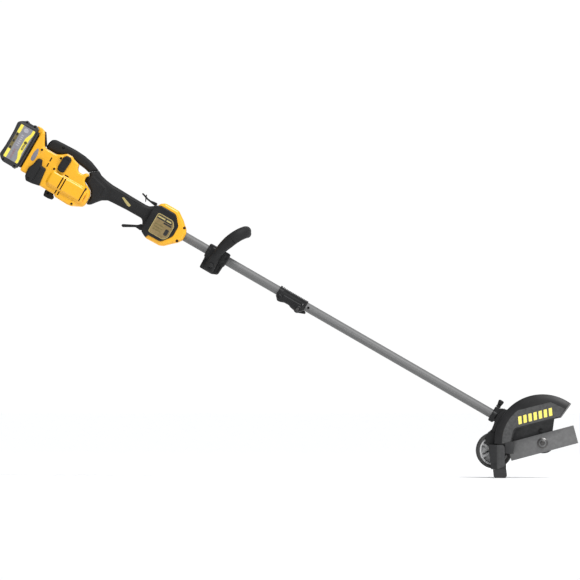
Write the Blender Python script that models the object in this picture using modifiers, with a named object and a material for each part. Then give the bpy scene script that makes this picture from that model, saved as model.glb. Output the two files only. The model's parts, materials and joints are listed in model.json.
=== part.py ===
"""Battery lawn edger: powerhead, two-piece shaft, front handle and edging head.

The edger is modelled in the attitude in which it is used.  Everything from the battery to the
gear case is laid out in the shaft frame: x runs forward along the shaft, y to the left and z up
from it, with the middle of the main grip at the origin.  The edging head is laid out in the head
frame, level with the ground, with the centre of the blade at its origin.
Outlines are (along, up) or (along, up, corner radius) in millimetres.
"""
import math

import bpy
import bmesh
from mathutils import Matrix, Vector

MM = 0.001
GAP = 0.3                     # clearance between neighbouring pieces, mm

# Driving dimensions, mm
SHAFT_TILT = 30.0             # degrees that the shaft drops towards the blade
TUBE_RADIUS = 12.7
TUBE_BORE = 11.0
SHAFT_RADIUS = 4.0
BLADE_AT = 1357.6             # blade centre, along the shaft from the grip
BLADE_LENGTH = 190.5
BLADE_WIDTH = 50.8
BLADE_THICKNESS = 3.0
BLADE_TILT = 15.0             # degrees, front end raised
GUARD_RADIUS = 132.5
WHEEL_RADIUS = 50.8
HOUSING_HALF = 46.0           # half widths across the tool
BATTERY_HALF = 42.0
GRIP_HALF = 19.0
HUB_HALF = 30.0
MOTOR_HEIGHT = -43.0          # motor axis below the shaft axis
JOINT_AT = 561.0              # where the two tubes meet inside the coupler

YELLOW = (1.0, 0.56, 0.03)
BLACK = (0.03, 0.03, 0.03)
GREY = (0.07, 0.07, 0.075)
TUBE_GREY = (0.17, 0.17, 0.17)
STEEL = (0.45, 0.45, 0.45)
COPPER = (0.55, 0.25, 0.10)
PALE = (0.55, 0.55, 0.55)

COLLECTION = bpy.data.collections.new("lawn_edger")
CUTTERS = bpy.data.collections.new("cutters")
BODIES = {}


# ---------------------------------------------------------------- helpers

def clear_scene():
    for thing in list(bpy.data.objects):
        bpy.data.objects.remove(thing, do_unlink=True)
    bpy.context.scene.collection.children.link(COLLECTION)
    bpy.context.scene.collection.children.link(CUTTERS)


def body(name, parent, place, turn=0.0):
    """An empty on a body's joint axis; place is in the frame of the outermost parent."""
    empty = bpy.data.objects.new(name + "_body", None)
    empty.empty_display_size = 0.02
    COLLECTION.objects.link(empty)
    origin = Vector(place) * MM
    if parent is None:
        empty.location = origin
        BODIES[name] = (empty, Vector((0.0, 0.0, 0.0)))
    else:
        holder, holder_origin = BODIES[parent]
        empty.parent = holder
        empty.location = origin - holder_origin
        BODIES[name] = (empty, origin)
    empty.rotation_euler = (0.0, math.radians(turn), 0.0)
    if turn:
        BODIES[name] = (empty, Vector((0.0, 0.0, 0.0)))
    return empty


def fit(piece, body_name):
    """Hang a piece, whose mesh is in frame coordinates, on the empty of its body."""
    empty, origin = BODIES[body_name]
    piece.parent = empty
    piece.location = -origin
    for change in piece.modifiers:
        if change.type == "BOOLEAN":
            fit(change.object, body_name)
    return piece


def finish(piece, colour, roughness=0.5, metallic=0.0):
    material = bpy.data.materials.new(piece.name + "_finish")
    material.use_nodes = True
    shader = material.node_tree.nodes["Principled BSDF"]
    shader.inputs["Base Color"].default_value = (*colour, 1.0)
    shader.inputs["Roughness"].default_value = roughness
    shader.inputs["Metallic"].default_value = metallic
    piece.data.materials.clear()
    piece.data.materials.append(material)
    return piece


def rounded(corners, steps=2):
    """The points of an outline, with an arc of the given radius at each corner that has one."""
    points = []
    for index, corner in enumerate(corners):
        here = Vector(corner[:2])
        radius = corner[2] if len(corner) > 2 else 0.0
        if radius == 0.0:
            points.append(here)
            continue
        back = (Vector(corners[index - 1][:2]) - here)
        ahead = (Vector(corners[(index + 1) % len(corners)][:2]) - here)
        half = back.angle(ahead) / 2
        reach = min(radius / math.tan(half), 0.49 * back.length, 0.49 * ahead.length)
        radius = reach * math.tan(half)
        centre = here + (back.normalized() + ahead.normalized()).normalized() * (
            radius / math.sin(half))
        start = here + back.normalized() * reach - centre
        sweep = -start.angle_signed(here + ahead.normalized() * reach - centre)
        for step in range(steps + 1):
            turn = Matrix.Rotation(sweep * step / steps, 2)
            points.append(centre + turn @ start)
    return points


def arc(centre, radius, start, end, steps):
    """Points on an arc, angles in degrees from straight ahead, upwards positive."""
    return [(centre[0] + radius * math.cos(math.radians(start + (end - start) * step / steps)),
             centre[1] + radius * math.sin(math.radians(start + (end - start) * step / steps)))
            for step in range(steps + 1)]


def circle(centre, radius, steps=20):
    return arc(centre, radius, 0.0, 360.0 - 360.0 / steps, steps - 1)


def square(half):
    return [(-half, -half), (half, -half), (half, half), (-half, half)]


def shifted(points, along=0.0, up=0.0):
    return [(p[0] + along, p[1] + up, *p[2:]) for p in points]


def mesh_piece(name, mesh, cutter=False):
    piece = bpy.data.objects.new(name, mesh)
    (CUTTERS if cutter else COLLECTION).objects.link(piece)
    if cutter:
        piece.hide_render = True
        piece.display_type = "WIRE"
    return piece


def flat(name, outline, low, high, axis="Y", holes=(), bevel=0.0, cutter=False):
    """A flat outline with thickness, from low to high along the axis that it is square to."""
    curve = bpy.data.curves.new(name, "CURVE")
    curve.dimensions = "2D"
    curve.fill_mode = "BOTH"
    curve.extrude = (high - low) / 2 * MM
    for loop in (rounded(outline), *holes):
        spline = curve.splines.new("POLY")
        spline.points.add(len(loop) - 1)
        for point, place in zip(spline.points, loop):
            point.co = (place[0] * MM, place[1] * MM, 0.0, 1.0)
        spline.use_cyclic_u = True
    guide = bpy.data.objects.new(name, curve)
    CUTTERS.objects.link(guide)
    middle = (low + high) / 2 * MM
    if axis == "Y":
        place = Matrix.Translation((0, middle, 0)) @ Matrix.Rotation(math.pi / 2, 4, "X")
    elif axis == "X":
        place = Matrix.Translation((middle, 0, 0)) @ Matrix(
            ((0, 0, 1, 0), (1, 0, 0, 0), (0, 1, 0, 0), (0, 0, 0, 1)))
    else:
        place = Matrix.Translation((0, 0, middle))
    return from_curve(name, guide, place, bevel, cutter)


def from_curve(name, guide, place, bevel=0.0, cutter=False):
    """Turn a curve object into a closed mesh piece and remove the curve."""
    bpy.context.view_layer.update()
    evaluated = guide.evaluated_get(bpy.context.evaluated_depsgraph_get())
    mesh = bpy.data.meshes.new_from_object(evaluated)
    mesh.transform(place @ guide.matrix_world)
    work = bmesh.new()
    work.from_mesh(mesh)
    bmesh.ops.remove_doubles(work, verts=work.verts, dist=0.00001)
    bmesh.ops.dissolve_limit(work, angle_limit=0.001, verts=work.verts, edges=work.edges)
    bmesh.ops.recalc_face_normals(work, faces=work.faces)
    work.to_mesh(mesh)
    work.free()
    bpy.data.objects.remove(guide, do_unlink=True)
    piece = mesh_piece(name, mesh, cutter)
    if bevel:
        rounder = piece.modifiers.new("rounded", "BEVEL")
        rounder.width = bevel * MM
        rounder.segments = 1
        rounder.limit_method = "ANGLE"
        rounder.angle_limit = math.radians(60)
    return piece


def rod(name, start, end, radius, sides=20, cutter=False, end_radius=None, inside=0.0):
    """A round bar or, with an inside radius, a tube between two points."""
    start, end = Vector(start) * MM, Vector(end) * MM
    work = bmesh.new()
    last = radius if end_radius is None else end_radius
    bmesh.ops.create_cone(work, cap_ends=True, segments=sides, radius1=radius * MM,
                          radius2=last * MM, depth=(end - start).length)
    turn = (end - start).to_track_quat("Z", "Y").to_matrix().to_4x4()
    bmesh.ops.transform(work, matrix=Matrix.Translation((start + end) / 2) @ turn,
                        verts=work.verts)
    mesh = bpy.data.meshes.new(name)
    work.to_mesh(mesh)
    work.free()
    piece = mesh_piece(name, mesh, cutter)
    mesh.shade_smooth()
    mesh.set_sharp_from_angle(angle=math.radians(40))
    if inside:
        past = (end - start).normalized()
        cut(piece, rod(name + "_bore", start / MM - past, end / MM + past, inside,
                       max(sides, 20), cutter=True))
    return piece


def box(name, low, high, bevel=0.0, cutter=False):
    work = bmesh.new()
    bmesh.ops.create_cube(work, size=1.0)
    low, high = Vector(low) * MM, Vector(high) * MM
    bmesh.ops.scale(work, vec=high - low, verts=work.verts)
    bmesh.ops.translate(work, vec=(low + high) / 2, verts=work.verts)
    mesh = bpy.data.meshes.new(name)
    work.to_mesh(mesh)
    work.free()
    piece = mesh_piece(name, mesh, cutter)
    if bevel:
        rounder = piece.modifiers.new("rounded", "BEVEL")
        rounder.width = bevel * MM
        rounder.segments = 2
    return piece


def cut(piece, *cutters, operation="DIFFERENCE"):
    for cutter in cutters:
        change = piece.modifiers.new(cutter.name, "BOOLEAN")
        change.operation = operation
        change.object = cutter
        change.solver = "EXACT"
    return piece


def join(piece, *others):
    return cut(piece, *others, operation="UNION")


def toothed(name, teeth, radius, low, high, centre=(0.0, 0.0), axis="X", bore=0.0, depth=2.0,
            cutter=False):
    """A wheel with straight teeth, such as a gear, a fan or a fluted knob."""
    outline = []
    pitch = math.tau / teeth
    for tooth in range(teeth):
        for share, reach in ((0.0, radius - depth), (0.2, radius), (0.5, radius),
                             (0.7, radius - depth)):
            angle = (tooth + share) * pitch
            outline.append((centre[0] + reach * math.cos(angle),
                            centre[1] + reach * math.sin(angle)))
    holes = [circle(centre, bore, 16)] if bore else []
    return flat(name, outline, low, high, axis, holes, cutter=cutter)


def tube_along(name, points, radius, resolution=2):
    """A bent round bar with closed ends through the given points."""
    curve = bpy.data.curves.new(name, "CURVE")
    curve.dimensions = "3D"
    curve.bevel_depth = radius * MM
    curve.bevel_resolution = resolution
    curve.use_fill_caps = True
    spline = curve.splines.new("POLY")
    spline.points.add(len(points) - 1)
    for point, place in zip(spline.points, points):
        point.co = (*(Vector(place) * MM), 1.0)
    guide = bpy.data.objects.new(name, curve)
    CUTTERS.objects.link(guide)
    return from_curve(name, guide, Matrix.Identity(4))


def smooth_path(points, steps=4):
    """Points on a smooth curve through the given ones."""
    path = []
    ends = [points[0]] + list(points) + [points[-1]]
    for index in range(1, len(ends) - 2):
        a, b, c, d = (Vector(ends[index + way]) for way in (-1, 0, 1, 2))
        for step in range(steps):
            t = step / steps
            path.append(0.5 * (2 * b + (c - a) * t + (2 * a - 5 * b + 4 * c - d) * t ** 2
                               + (3 * b - a - 3 * c + d) * t ** 3))
    path.append(Vector(points[-1]))
    return path


# ---------------------------------------------------------------- powerhead

# The line on which the black top handle sits on the yellow housing, rear to front.
SADDLE = [(-236, 21), (-230, 19.2), (-201, 19.2), (-186, 27), (-175, 36), (-159, 36.4),
          (-150, 32), (-132, 26)]


def housing_outline():
    bottom = [(-62, -35, 6), (-62, -62, 4), (-65, -70, 4), (-91.5, -84, 6), (-105, -87, 3),
              (-146, -85, 3), (-150, -79), (-198, -79, 2), (-202, -66), (-240, -66), (-250, -69, 3),
              (-266, -69)]
    hand_hole = [(-129, 14, 3), (-123, 8, 3), (-109, 8.5, 3), (-105, 16, 3)]
    nose = [(-99, 20), (-91.5, 13), (-98, 7), (-99, 1.5), (-97, -6.5), (-85, -12.6),
            (-69, -21.6)]
    return ([(-266, 54, 2), (-257, 55, 3), (-240, 24)] + shifted(SADDLE, up=-GAP)
            + hand_hole + nose + bottom)


def housing():
    """Two shells that meet on the centre line and hold the motor, the gears and the board."""
    room = [(-262, -60), (-262, 48), (-242, 14), (-172, 14), (-172, 30.5), (-158, 30.5),
            (-158, -12), (-84, -16), (-66, -26), (-66, -60), (-90, -78), (-158, -71),
            (-184, -61.5)]
    for side, sign in (("left", 1), ("right", -1)):
        near, far = sorted((sign * GAP / 2, sign * HOUSING_HALF))
        shell = flat("housing_" + side, housing_outline(), near, far)
        blister = flat("blister_" + side, [(-186, -24, 8), (-88, -24, 8), (-72, -44, 8),
                                           (-86, -64, 8), (-186, -64, 8)],
                       *sorted((sign * 30, sign * (HOUSING_HALF + 4))), cutter=True)
        join(shell, blister)
        inner = sorted((-sign * 1, sign * (HOUSING_HALF - 4)))
        cut(shell,
            flat("room_" + side, room, *inner, cutter=True),
            rod("shaft_way_" + side, (-175, 0, 0), (-60, 0, 0), SHAFT_RADIUS + 2, cutter=True))
        for vent, (along, low, high) in enumerate(((-151.5, -61, -26), (-143.5, -61, -26),
                                                   (-83, -60, -24))):
            cut(shell, box(f"vent_{side}_{vent}", (along - 1.6, min(sign * 36, sign * 60), low),
                           (along + 1.6, max(sign * 36, sign * 60), high), cutter=True))
        finish(fit(shell, "powerhead"), YELLOW, 0.4)


def battery_rail():
    """The tee-shaped rail on the back of the housing that the battery slides onto."""
    rail = flat("battery_rail", [(-266.3, -16), (-266.3, 16), (-270, 16), (-270, 22),
                                 (-275, 22), (-275, -22), (-270, -22), (-270, -16)],
                -55, 45, axis="Z")
    finish(fit(rail, "powerhead"), BLACK)


def drive_unit():
    """Brushless motor below the shaft line, with a two to one step up to the shaft."""
    up = MOTOR_HEIGHT
    stator = rod("motor_stator", (-135, 0, up), (-92, 0, up), 27, 24, inside=16)
    finish(fit(stator, "powerhead"), COPPER, 0.4, 0.8)
    rotor = join(rod("motor_rotor", (-134, 0, up), (-93, 0, up), 15, 24),
                 rod("rotor_shaft", (-171, 0, up), (-67, 0, up), 4, 12, cutter=True),
                 toothed("rotor_pinion", 14, 13.6, -168, -160, (0, up), cutter=True))
    finish(fit(rotor, "motor"), STEEL, 0.4, 0.9)
    fan = toothed("cooling_fan", 11, 20, -84, -76, (0, up), bore=4.3, depth=8)
    finish(fit(fan, "motor"), BLACK)
    gear = toothed("shaft_gear", 28, 27.6, -168, -160, (0, 0), bore=4.3)
    finish(fit(gear, "upper_drive"), STEEL, 0.3, 1.0)
    shaft = join(rod("upper_drive_shaft", (-171, 0, 0), (JOINT_AT - 8, 0, 0), SHAFT_RADIUS, 12),
                 rod("drive_socket", (JOINT_AT - 11, 0, 0), (JOINT_AT + 12, 0, 0), 7, 16,
                     cutter=True))
    cut(shaft, flat("socket_square", square(3.3), JOINT_AT - 4, JOINT_AT + 14, axis="X",
                    cutter=True))
    finish(fit(shaft, "upper_drive"), STEEL, 0.3, 1.0)
    board = box("control_board", (-240, -30, -50), (-236, 30, 8))
    finish(fit(board, "powerhead"), (0.02, 0.12, 0.05))


def top_handle():
    """The rubber-covered handle over the housing; its front runs on into the main grip."""
    top = [(-77, 39.5), (-80, 40.5), (-90, 44), (-105, 50, 20), (-130, 55, 20), (-159, 57, 20),
           (-198, 55.5, 10), (-221, 54, 10), (-230, 48.5, 6), (-236, 36, 6)]
    under = shifted(SADDLE) + [(-113, 24), (-99, 20.6)]
    handle = flat("top_handle", top + under, -17, 17, bevel=6.0)
    finish(fit(handle, "powerhead"), BLACK, 0.75)


def grip_outline():
    top = [(-76.7, 39.3), (-65, 31.5, 12), (-43.5, 26.5, 12), (-24, 24), (5, 23.7), (43, 22.7),
           (81.5, 22.3), (93, 23.7), (101, 29.4), (108.5, 35), (111.7, 37.5)]
    bottom = [(111.7, -50), (108, -48), (99, -27), (95, -20, 4), (89, -16.2, 4), (43, -16.7),
              (4.6, -18.7), (-14.6, -20, 8), (-30, -29, 10), (-41.5, -43, 10), (-49, -53, 8),
              (-58, -59, 3), (-61.7, -57)]
    seam = [(-61.7, -34), (-68.6, -20.9), (-84.6, -11.9), (-96.4, -5.7), (-98.4, 1.5),
            (-97.4, 6.8), (-90.9, 12.95), (-98.4, 20.3)]
    return top + bottom + seam


def main_grip():
    for side, sign in (("left", 1), ("right", -1)):
        near, far = sorted((sign * GAP / 2, sign * GRIP_HALF))
        shell = flat("grip_" + side, grip_outline(), near, far)
        inner = sorted((-sign * 1, sign * 6.5))
        cut(shell,
            flat("trigger_room_" + side, [(84, -60), (84, -14), (104, -14), (116, -30),
                                          (116, -60)], *inner, cutter=True),
            flat("lock_room_" + side, [(94, 50), (86, 21), (104, 21), (116, 24), (116, 50)],
                 *inner, cutter=True),
            flat("switch_room_" + side, [(52, -12), (83, -12), (83, 16), (52, 16)],
                 *sorted((-sign * 1, sign * 9)), cutter=True),
            rod("shaft_way_grip_" + side, (-100, 0, 0), (115, 0, 0), SHAFT_RADIUS + 2,
                cutter=True))
        finish(fit(shell, "powerhead"), BLACK, 0.7)
    switch = box("trigger_switch", (54, -8, -11.5), (82, 8, -6.6))
    finish(fit(switch, "powerhead"), GREY)


def trigger():
    lever = flat("trigger", [(98, -30, 3), (108, -32, 5), (111, -40, 5), (103, -46, 4),
                             (88, -45, 3), (57, -62.5, 2), (52, -60, 2), (54, -56.5, 2),
                             (90, -38, 6)], -5.5, 5.5)
    finish(fit(lever, "trigger"), BLACK, 0.5)


def lock_off_lever():
    lever = flat("lock_off_lever", [(109, 31, 3), (109, 41, 3), (99, 40.5, 2), (88, 38.5, 3),
                                    (79, 40, 3), (70, 43, 3), (59, 46.5, 1), (58, 43.5, 1),
                                    (70, 39.5, 3), (79, 36.5, 3), (88, 34.5, 3), (98, 33, 2)],
                 -5.0, 5.0)
    finish(fit(lever, "lock_off"), BLACK, 0.5)


def hub_outline():
    return [(112, 38, 2), (117, 46, 4), (128, 53.5, 6), (170, 53.6, 8), (194, 37, 6), (203, 28, 4),
            (213, 20, 6), (219.5, 8, 8), (219.5, -12, 8), (211, -25, 6), (200, -34, 4),
            (181, -53.6, 8), (170, -57, 6), (129, -58, 6), (117, -53, 3), (112, -50, 2)]


def hub():
    """The two shells that clamp the upper tube, each with a black side panel."""
    panel_outline = [(105, 37), (113, 37), (122, 42, 4), (168, 41.5, 10), (190.4, 14, 12),
                     (190.4, -16, 12), (168, -46, 10), (128, -47, 6), (122, -56), (113, -49.5),
                     (105, -49.5)]
    for side, sign in (("left", 1), ("right", -1)):
        near, far = sorted((sign * GAP / 2, sign * HUB_HALF))
        shell = flat("hub_" + side, hub_outline(), near, far)
        pocket = flat("panel_pocket_" + side, panel_outline,
                      *sorted((sign * (HUB_HALF - 2), sign * (HUB_HALF + 6))), cutter=True)
        cut(shell, pocket,
            rod("tube_way_" + side, (150, 0, 0), (225, 0, 0), TUBE_RADIUS + GAP, cutter=True),
            rod("drive_way_" + side, (105, 0, 0), (160, 0, 0), SHAFT_RADIUS + 2, cutter=True),
            flat("lever_room_" + side, [(105, 26), (105, 60), (114, 60), (114, 26)],
                 *sorted((-sign * 1, sign * 6.5)), cutter=True))
        finish(fit(shell, "powerhead"), YELLOW, 0.4)
        face = sign * (HUB_HALF - 2 + GAP)
        panel = flat("hub_panel_" + side,
                     [(112.3, 36), (122, 41, 4), (167.5, 40.5, 10), (189.8, 14, 12),
                      (189.8, -15.5, 12), (167.5, -45.3, 10), (127.5, -46, 6), (121.5, -55.5),
                      (112.3, -49)], *sorted((face, face + sign * 4)), bevel=1.0)
        finish(fit(panel, "powerhead"), BLACK, 0.7)


def bumpers():
    """Rubber pieces that the tool rests on."""
    rear = flat("rear_bumper", [(-240, -21, 4), (-236, -13, 4), (-225, -13, 4), (-219, -29, 3),
                                (-204, -29, 4), (-201.5, -53), (-198, -80, 3), (-221, -84, 4),
                                (-238, -85, 5), (-246, -75, 5), (-249, -50, 5), (-242, -36)],
                -HOUSING_HALF - 5, HOUSING_HALF + 5, bevel=2.0)
    inside = [(-270, -12), (-190, -12), (-190, -79.3), (-198.4, -79.3), (-202.4, -66.3),
              (-240, -66.3), (-250, -69.3), (-270, -69.3)]
    cut(rear, flat("bumper_inside", inside, -HOUSING_HALF - GAP, HOUSING_HALF + GAP,
                   cutter=True))
    finish(fit(rear, "powerhead"), BLACK, 0.85)
    foot = flat("foot_bumper", [(-177.5, -79.4), (-150.3, -79.4), (-146.4, -85.6), (-147, -91, 3),
                                (-151, -96.7, 4), (-173, -97.7, 4), (-178, -94, 4)], -14, 14,
                bevel=1.5)
    finish(fit(foot, "powerhead"), BLACK, 0.85)
    for side, sign in (("left", 1), ("right", -1)):
        pad = flat("side_bumper_" + side, [(-179, 16, 5), (-155, 16, 5), (-155, -17, 5),
                                           (-179, -17, 5)],
                   *sorted((sign * (HOUSING_HALF + GAP), sign * (HOUSING_HALF + 6))), bevel=2.0)
        finish(fit(pad, "powerhead"), BLACK, 0.85)


# ---------------------------------------------------------------- battery

def battery():
    case_outline = [(-337.5, 43, 5), (-319, 57.5, 6), (-282, 56, 8), (-276.3, 50), (-276.3, -66),
                    (-285, -71.5, 6), (-318, -71.5, 6), (-337.5, -58, 6), (-334.5, -6)]
    case = flat("battery_case", case_outline, -BATTERY_HALF, BATTERY_HALF, bevel=3.0)
    cell_room = box("cell_room", (-331, -37, -62), (-275, 37, 48), cutter=True)
    gauge_room = rod("gauge_room", (-289.5, -50, 4), (-289.5, -36, 4), 4.3, 16, cutter=True)
    release_room = box("release_room", (-290.5, -15.5, -80), (-279.5, 15.5, -61), cutter=True)
    cut(case, cell_room, gauge_room, release_room)
    finish(fit(case, "battery"), GREY, 0.55)
    cover = flat("battery_cover", [(-276, -37), (-276, 37), (-272, BATTERY_HALF),
                                   (-268, BATTERY_HALF - 4), (-268, 4 - BATTERY_HALF),
                                   (-272, -BATTERY_HALF)], -62, 47, axis="Z")
    rail_slot = flat("rail_slot", [(-265, -16.6), (-265, 16.6), (-269.5, 16.6), (-269.5, 22.6),
                                   (-275.5, 22.6), (-275.5, -22.6), (-269.5, -22.6),
                                   (-269.5, -16.6)], -55.6, 60, axis="Z", cutter=True)
    finish(fit(cut(cover, rail_slot), "battery"), GREY, 0.55)
    cells = box("cell_pack", (-330, -36, -61), (-277, 34, 47))
    for column in range(4):
        side = -35 + 23 * column
        cut(cells, box(f"cell_gap_{column}", (-320, side, -70), (-315, side + 3, 60),
                       cutter=True))
    cut(cells, box("button_clear", (-292, -16.5, -63), (-276, 16.5, -50), cutter=True),
        rod("gauge_clear", (-289.5, -50, 4), (-289.5, -30, 4), 4.6, 16, cutter=True))
    finish(fit(cells, "battery"), (0.1, 0.2, 0.35))
    gauge = rod("battery_gauge_button", (-289.5, -BATTERY_HALF - 1.6, 4),
                (-289.5, -BATTERY_HALF + 3, 4), 3.8, 16)
    finish(fit(gauge, "gauge_button"), BLACK)
    release = box("battery_release_button", (-290, -15, -72.5), (-280, 15, -65), bevel=1.0)
    finish(fit(release, "battery_release"), BLACK)


# ---------------------------------------------------------------- shaft

def tubes():
    upper = rod("upper_tube", (150.4, 0, 0), (JOINT_AT - GAP, 0, 0), TUBE_RADIUS, 24,
                inside=TUBE_BORE)
    finish(fit(upper, "powerhead"), TUBE_GREY, 0.35, 0.6)
    lower = rod("lower_tube", (JOINT_AT + GAP, 0, 0), (BLADE_AT - 36, 0, 0), TUBE_RADIUS, 24,
                inside=TUBE_BORE)
    cut(lower, rod("locating_hole", (612.5, -20, 0), (612.5, 0, 0), 3.5, 12, cutter=True),
        rod("button_hole", (594.4, -20, 0), (594.4, 0, 0), 3.4, 12, cutter=True))
    finish(fit(lower, "attachment"), TUBE_GREY, 0.35, 0.6)
    bush = rod("shaft_bush", (960, 0, 0), (984, 0, 0), TUBE_BORE - GAP, 20,
               inside=SHAFT_RADIUS + GAP)
    finish(fit(bush, "attachment"), BLACK)
    shaft = join(rod("lower_drive_shaft", (JOINT_AT + 13, 0, 0), (BLADE_AT - 21.5, 0, 0),
                     SHAFT_RADIUS, 12),
                 flat("drive_square", square(3.0), JOINT_AT + 2, JOINT_AT + 15, axis="X",
                      cutter=True),
                 toothed("bevel_pinion", 12, 9, BLADE_AT - 33, BLADE_AT - 22, cutter=True))
    finish(fit(shaft, "lower_drive"), STEEL, 0.3, 1.0)


def coupler():
    """The split clamp that joins the tubes, with its knob and the spring button."""
    outline = [(517.5, 14.8, 2), (604, 14.8, 2), (605, -10, 2), (600, -20, 3), (590, -27.5, 4),
               (569, -24, 2), (564, -20, 3), (547.5, -21, 4), (535, -25, 3), (527.5, -25.6, 4),
               (520, -17.5, 3), (517.5, -5)]
    for side, sign in (("left", 1), ("right", -1)):
        half = flat("coupler_" + side, outline, *sorted((sign * GAP, sign * 18)))
        cut(half, rod("clamp_bore_" + side, (510, 0, 0), (610, 0, 0), TUBE_RADIUS + GAP, 24,
                      cutter=True),
            rod("stud_way_" + side, (588, -30, -18.5), (588, 30, -18.5), 3.4, 12, cutter=True))
        if sign < 0:
            cut(half, rod("button_way", (594.4, -30, 0), (594.4, 0, 0), 3.0, 12, cutter=True))
        finish(fit(half, "powerhead"), BLACK, 0.6)
    knob = join(rod("coupler_knob", (588, 18.6, -18.5), (588, 27, -18.5), 11, 20),
                rod("coupler_stud", (588, -17, -18.5), (588, 20, -18.5), 3.0, 12, cutter=True),
                box("knob_wing", (585.5, 19, -23), (612, 26, -14), cutter=True))
    finish(fit(knob, "coupler_knob"), BLACK, 0.6)
    button = rod("coupler_button", (594.4, -19, 0), (594.4, -13.1, 0), 2.6, 12)
    finish(fit(button, "coupler_button"), PALE, 0.3, 0.8)


def aux_handle():
    """The loop handle that clamps round the upper tube and slides along it."""
    outline = [(290, 20.5, 3), (355, 20.5, 3), (355, -6), (352, -21), (350, -48, 4),
               (334, -53, 3), (296, -53, 3), (294.5, -23), (290, -8)]
    for side, sign in (("left", 1), ("right", -1)):
        half = flat("handle_clamp_" + side, outline, *sorted((sign * GAP, sign * 20)))
        cut(half, rod("handle_bore_" + side, (280, 0, 0), (365, 0, 0), TUBE_RADIUS + GAP, 24,
                      cutter=True),
            rod("bolt_way_" + side, (321, -60, -33), (321, 60, -33), 3.4, 12, cutter=True))
        finish(fit(half, "aux_handle"), BLACK, 0.6)
    near_leg = [(321, -35, -44), (320.5, -35, -20), (321, -37, 5), (325, -46, 32),
                (333, -57, 58), (344, -58, 80), (355, -40, 95)]
    far_leg = [(along, -across, up) for along, across, up in reversed(near_leg)]
    loop = tube_along("aux_handle_loop", smooth_path(near_leg + [(358.5, 0, 97.5)] + far_leg, 2),
                      14.0, 2)
    cut(loop, rod("loop_bolt_way", (321, -60, -33), (321, 60, -33), 3.4, 12, cutter=True))
    finish(fit(loop, "aux_handle"), BLACK, 0.6)
    bolt = join(rod("handle_bolt", (321, -50, -33), (321, 51, -33), 3.0, 12),
                rod("handle_bolt_head", (321, -53, -33), (321, -49.3, -33), 6, 6, cutter=True))
    finish(fit(bolt, "aux_handle"), STEEL, 0.3, 1.0)
    knob = toothed("handle_knob", 6, 15, 49.5, 62, (321, -33), axis="Y", bore=3.3, depth=3)
    finish(fit(knob, "handle_knob"), BLACK, 0.6)


# ---------------------------------------------------------------- edging head

def gear_case():
    """The clamshell round the bevel gears; its round boss carries the wheel arm."""
    centre = (BLADE_AT + 5, 2)
    outline = ([(BLADE_AT - 62, -18, 4)] + arc(centre, 28, -135, 135, 14)
               + [(BLADE_AT - 62, 18, 4)])
    far = flat("gear_case_far", outline, GAP / 2, 24)
    near = flat("gear_case_near", outline, -16.4, -GAP / 2)
    join(near, rod("pivot_boss", (BLADE_AT, -20.7, 0), (BLADE_AT, -12, 0), 24, 28, cutter=True))
    for case, tag, low, high in ((far, "far", -1, 17), (near, "near", -12, 1)):
        cut(case,
            rod("case_socket_" + tag, (BLADE_AT - 70, 0, 0), (BLADE_AT - 35.5, 0, 0),
                TUBE_RADIUS + GAP, 24, cutter=True),
            rod("pinion_room_" + tag, (BLADE_AT - 36, 0, 0), (BLADE_AT, 0, 0), 11.5, 20,
                cutter=True),
            rod("gear_room_head_" + tag, (BLADE_AT, low, 0), (BLADE_AT, high, 0), 18, 24,
                cutter=True))
    cut(near, rod("spindle_way", (BLADE_AT, -30, 0), (BLADE_AT, 0, 0), 8, 20, cutter=True),
        rod("bearing_seat", (BLADE_AT, -18.6, 0), (BLADE_AT, -11, 0), 13.3, 24, cutter=True))
    finish(fit(far, "attachment"), BLACK, 0.5, 0.3)
    finish(fit(near, "attachment"), BLACK, 0.5, 0.3)
    bearing = rod("spindle_bearing", (BLADE_AT, -18.3, 0), (BLADE_AT, -12.3, 0), 13, 24,
                  inside=6.8)
    finish(fit(bearing, "attachment"), STEEL, 0.3, 1.0)


def cutter():
    """Everything that turns with the blade."""
    gear = toothed("bevel_gear", 18, 16.5, 9.8, 15.5, axis="Y", bore=6.8)
    finish(fit(gear, "cutter"), STEEL, 0.3, 1.0)
    spindle = rod("spindle", (0, -52, 0), (0, 16.5, 0), 6.5, 20)
    finish(fit(spindle, "cutter"), STEEL, 0.3, 1.0)
    inner = rod("inner_flange", (0, -36.7, 0), (0, -32, 0), 19, 24, inside=6.8)
    finish(fit(inner, "cutter"), STEEL, 0.3, 1.0)
    ahead = Vector((math.cos(math.radians(BLADE_TILT)), math.sin(math.radians(BLADE_TILT))))
    above = Vector((-ahead.y, ahead.x))
    corners = [ahead * (BLADE_LENGTH / 2 * x) + above * (BLADE_WIDTH / 2 * z)
               for x, z in ((-1, -1), (1, -1), (1, 1), (-1, 1))]
    blade = flat("edger_blade", corners, -37 - BLADE_THICKNESS, -37,
                 holes=[circle((0, 0), 6.8, 20)])
    finish(fit(blade, "cutter"), STEEL, 0.35, 0.9)
    washer = rod("blade_washer", (0, -43.5, 0), (0, -40.3, 0), 15, 24, inside=6.8)
    finish(fit(washer, "cutter"), STEEL, 0.3, 1.0)
    nut = rod("blade_nut", (0, -50.5, 0), (0, -43.8, 0), 10, 6, inside=6.8)
    finish(fit(nut, "cutter"), STEEL, 0.3, 1.0)


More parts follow.
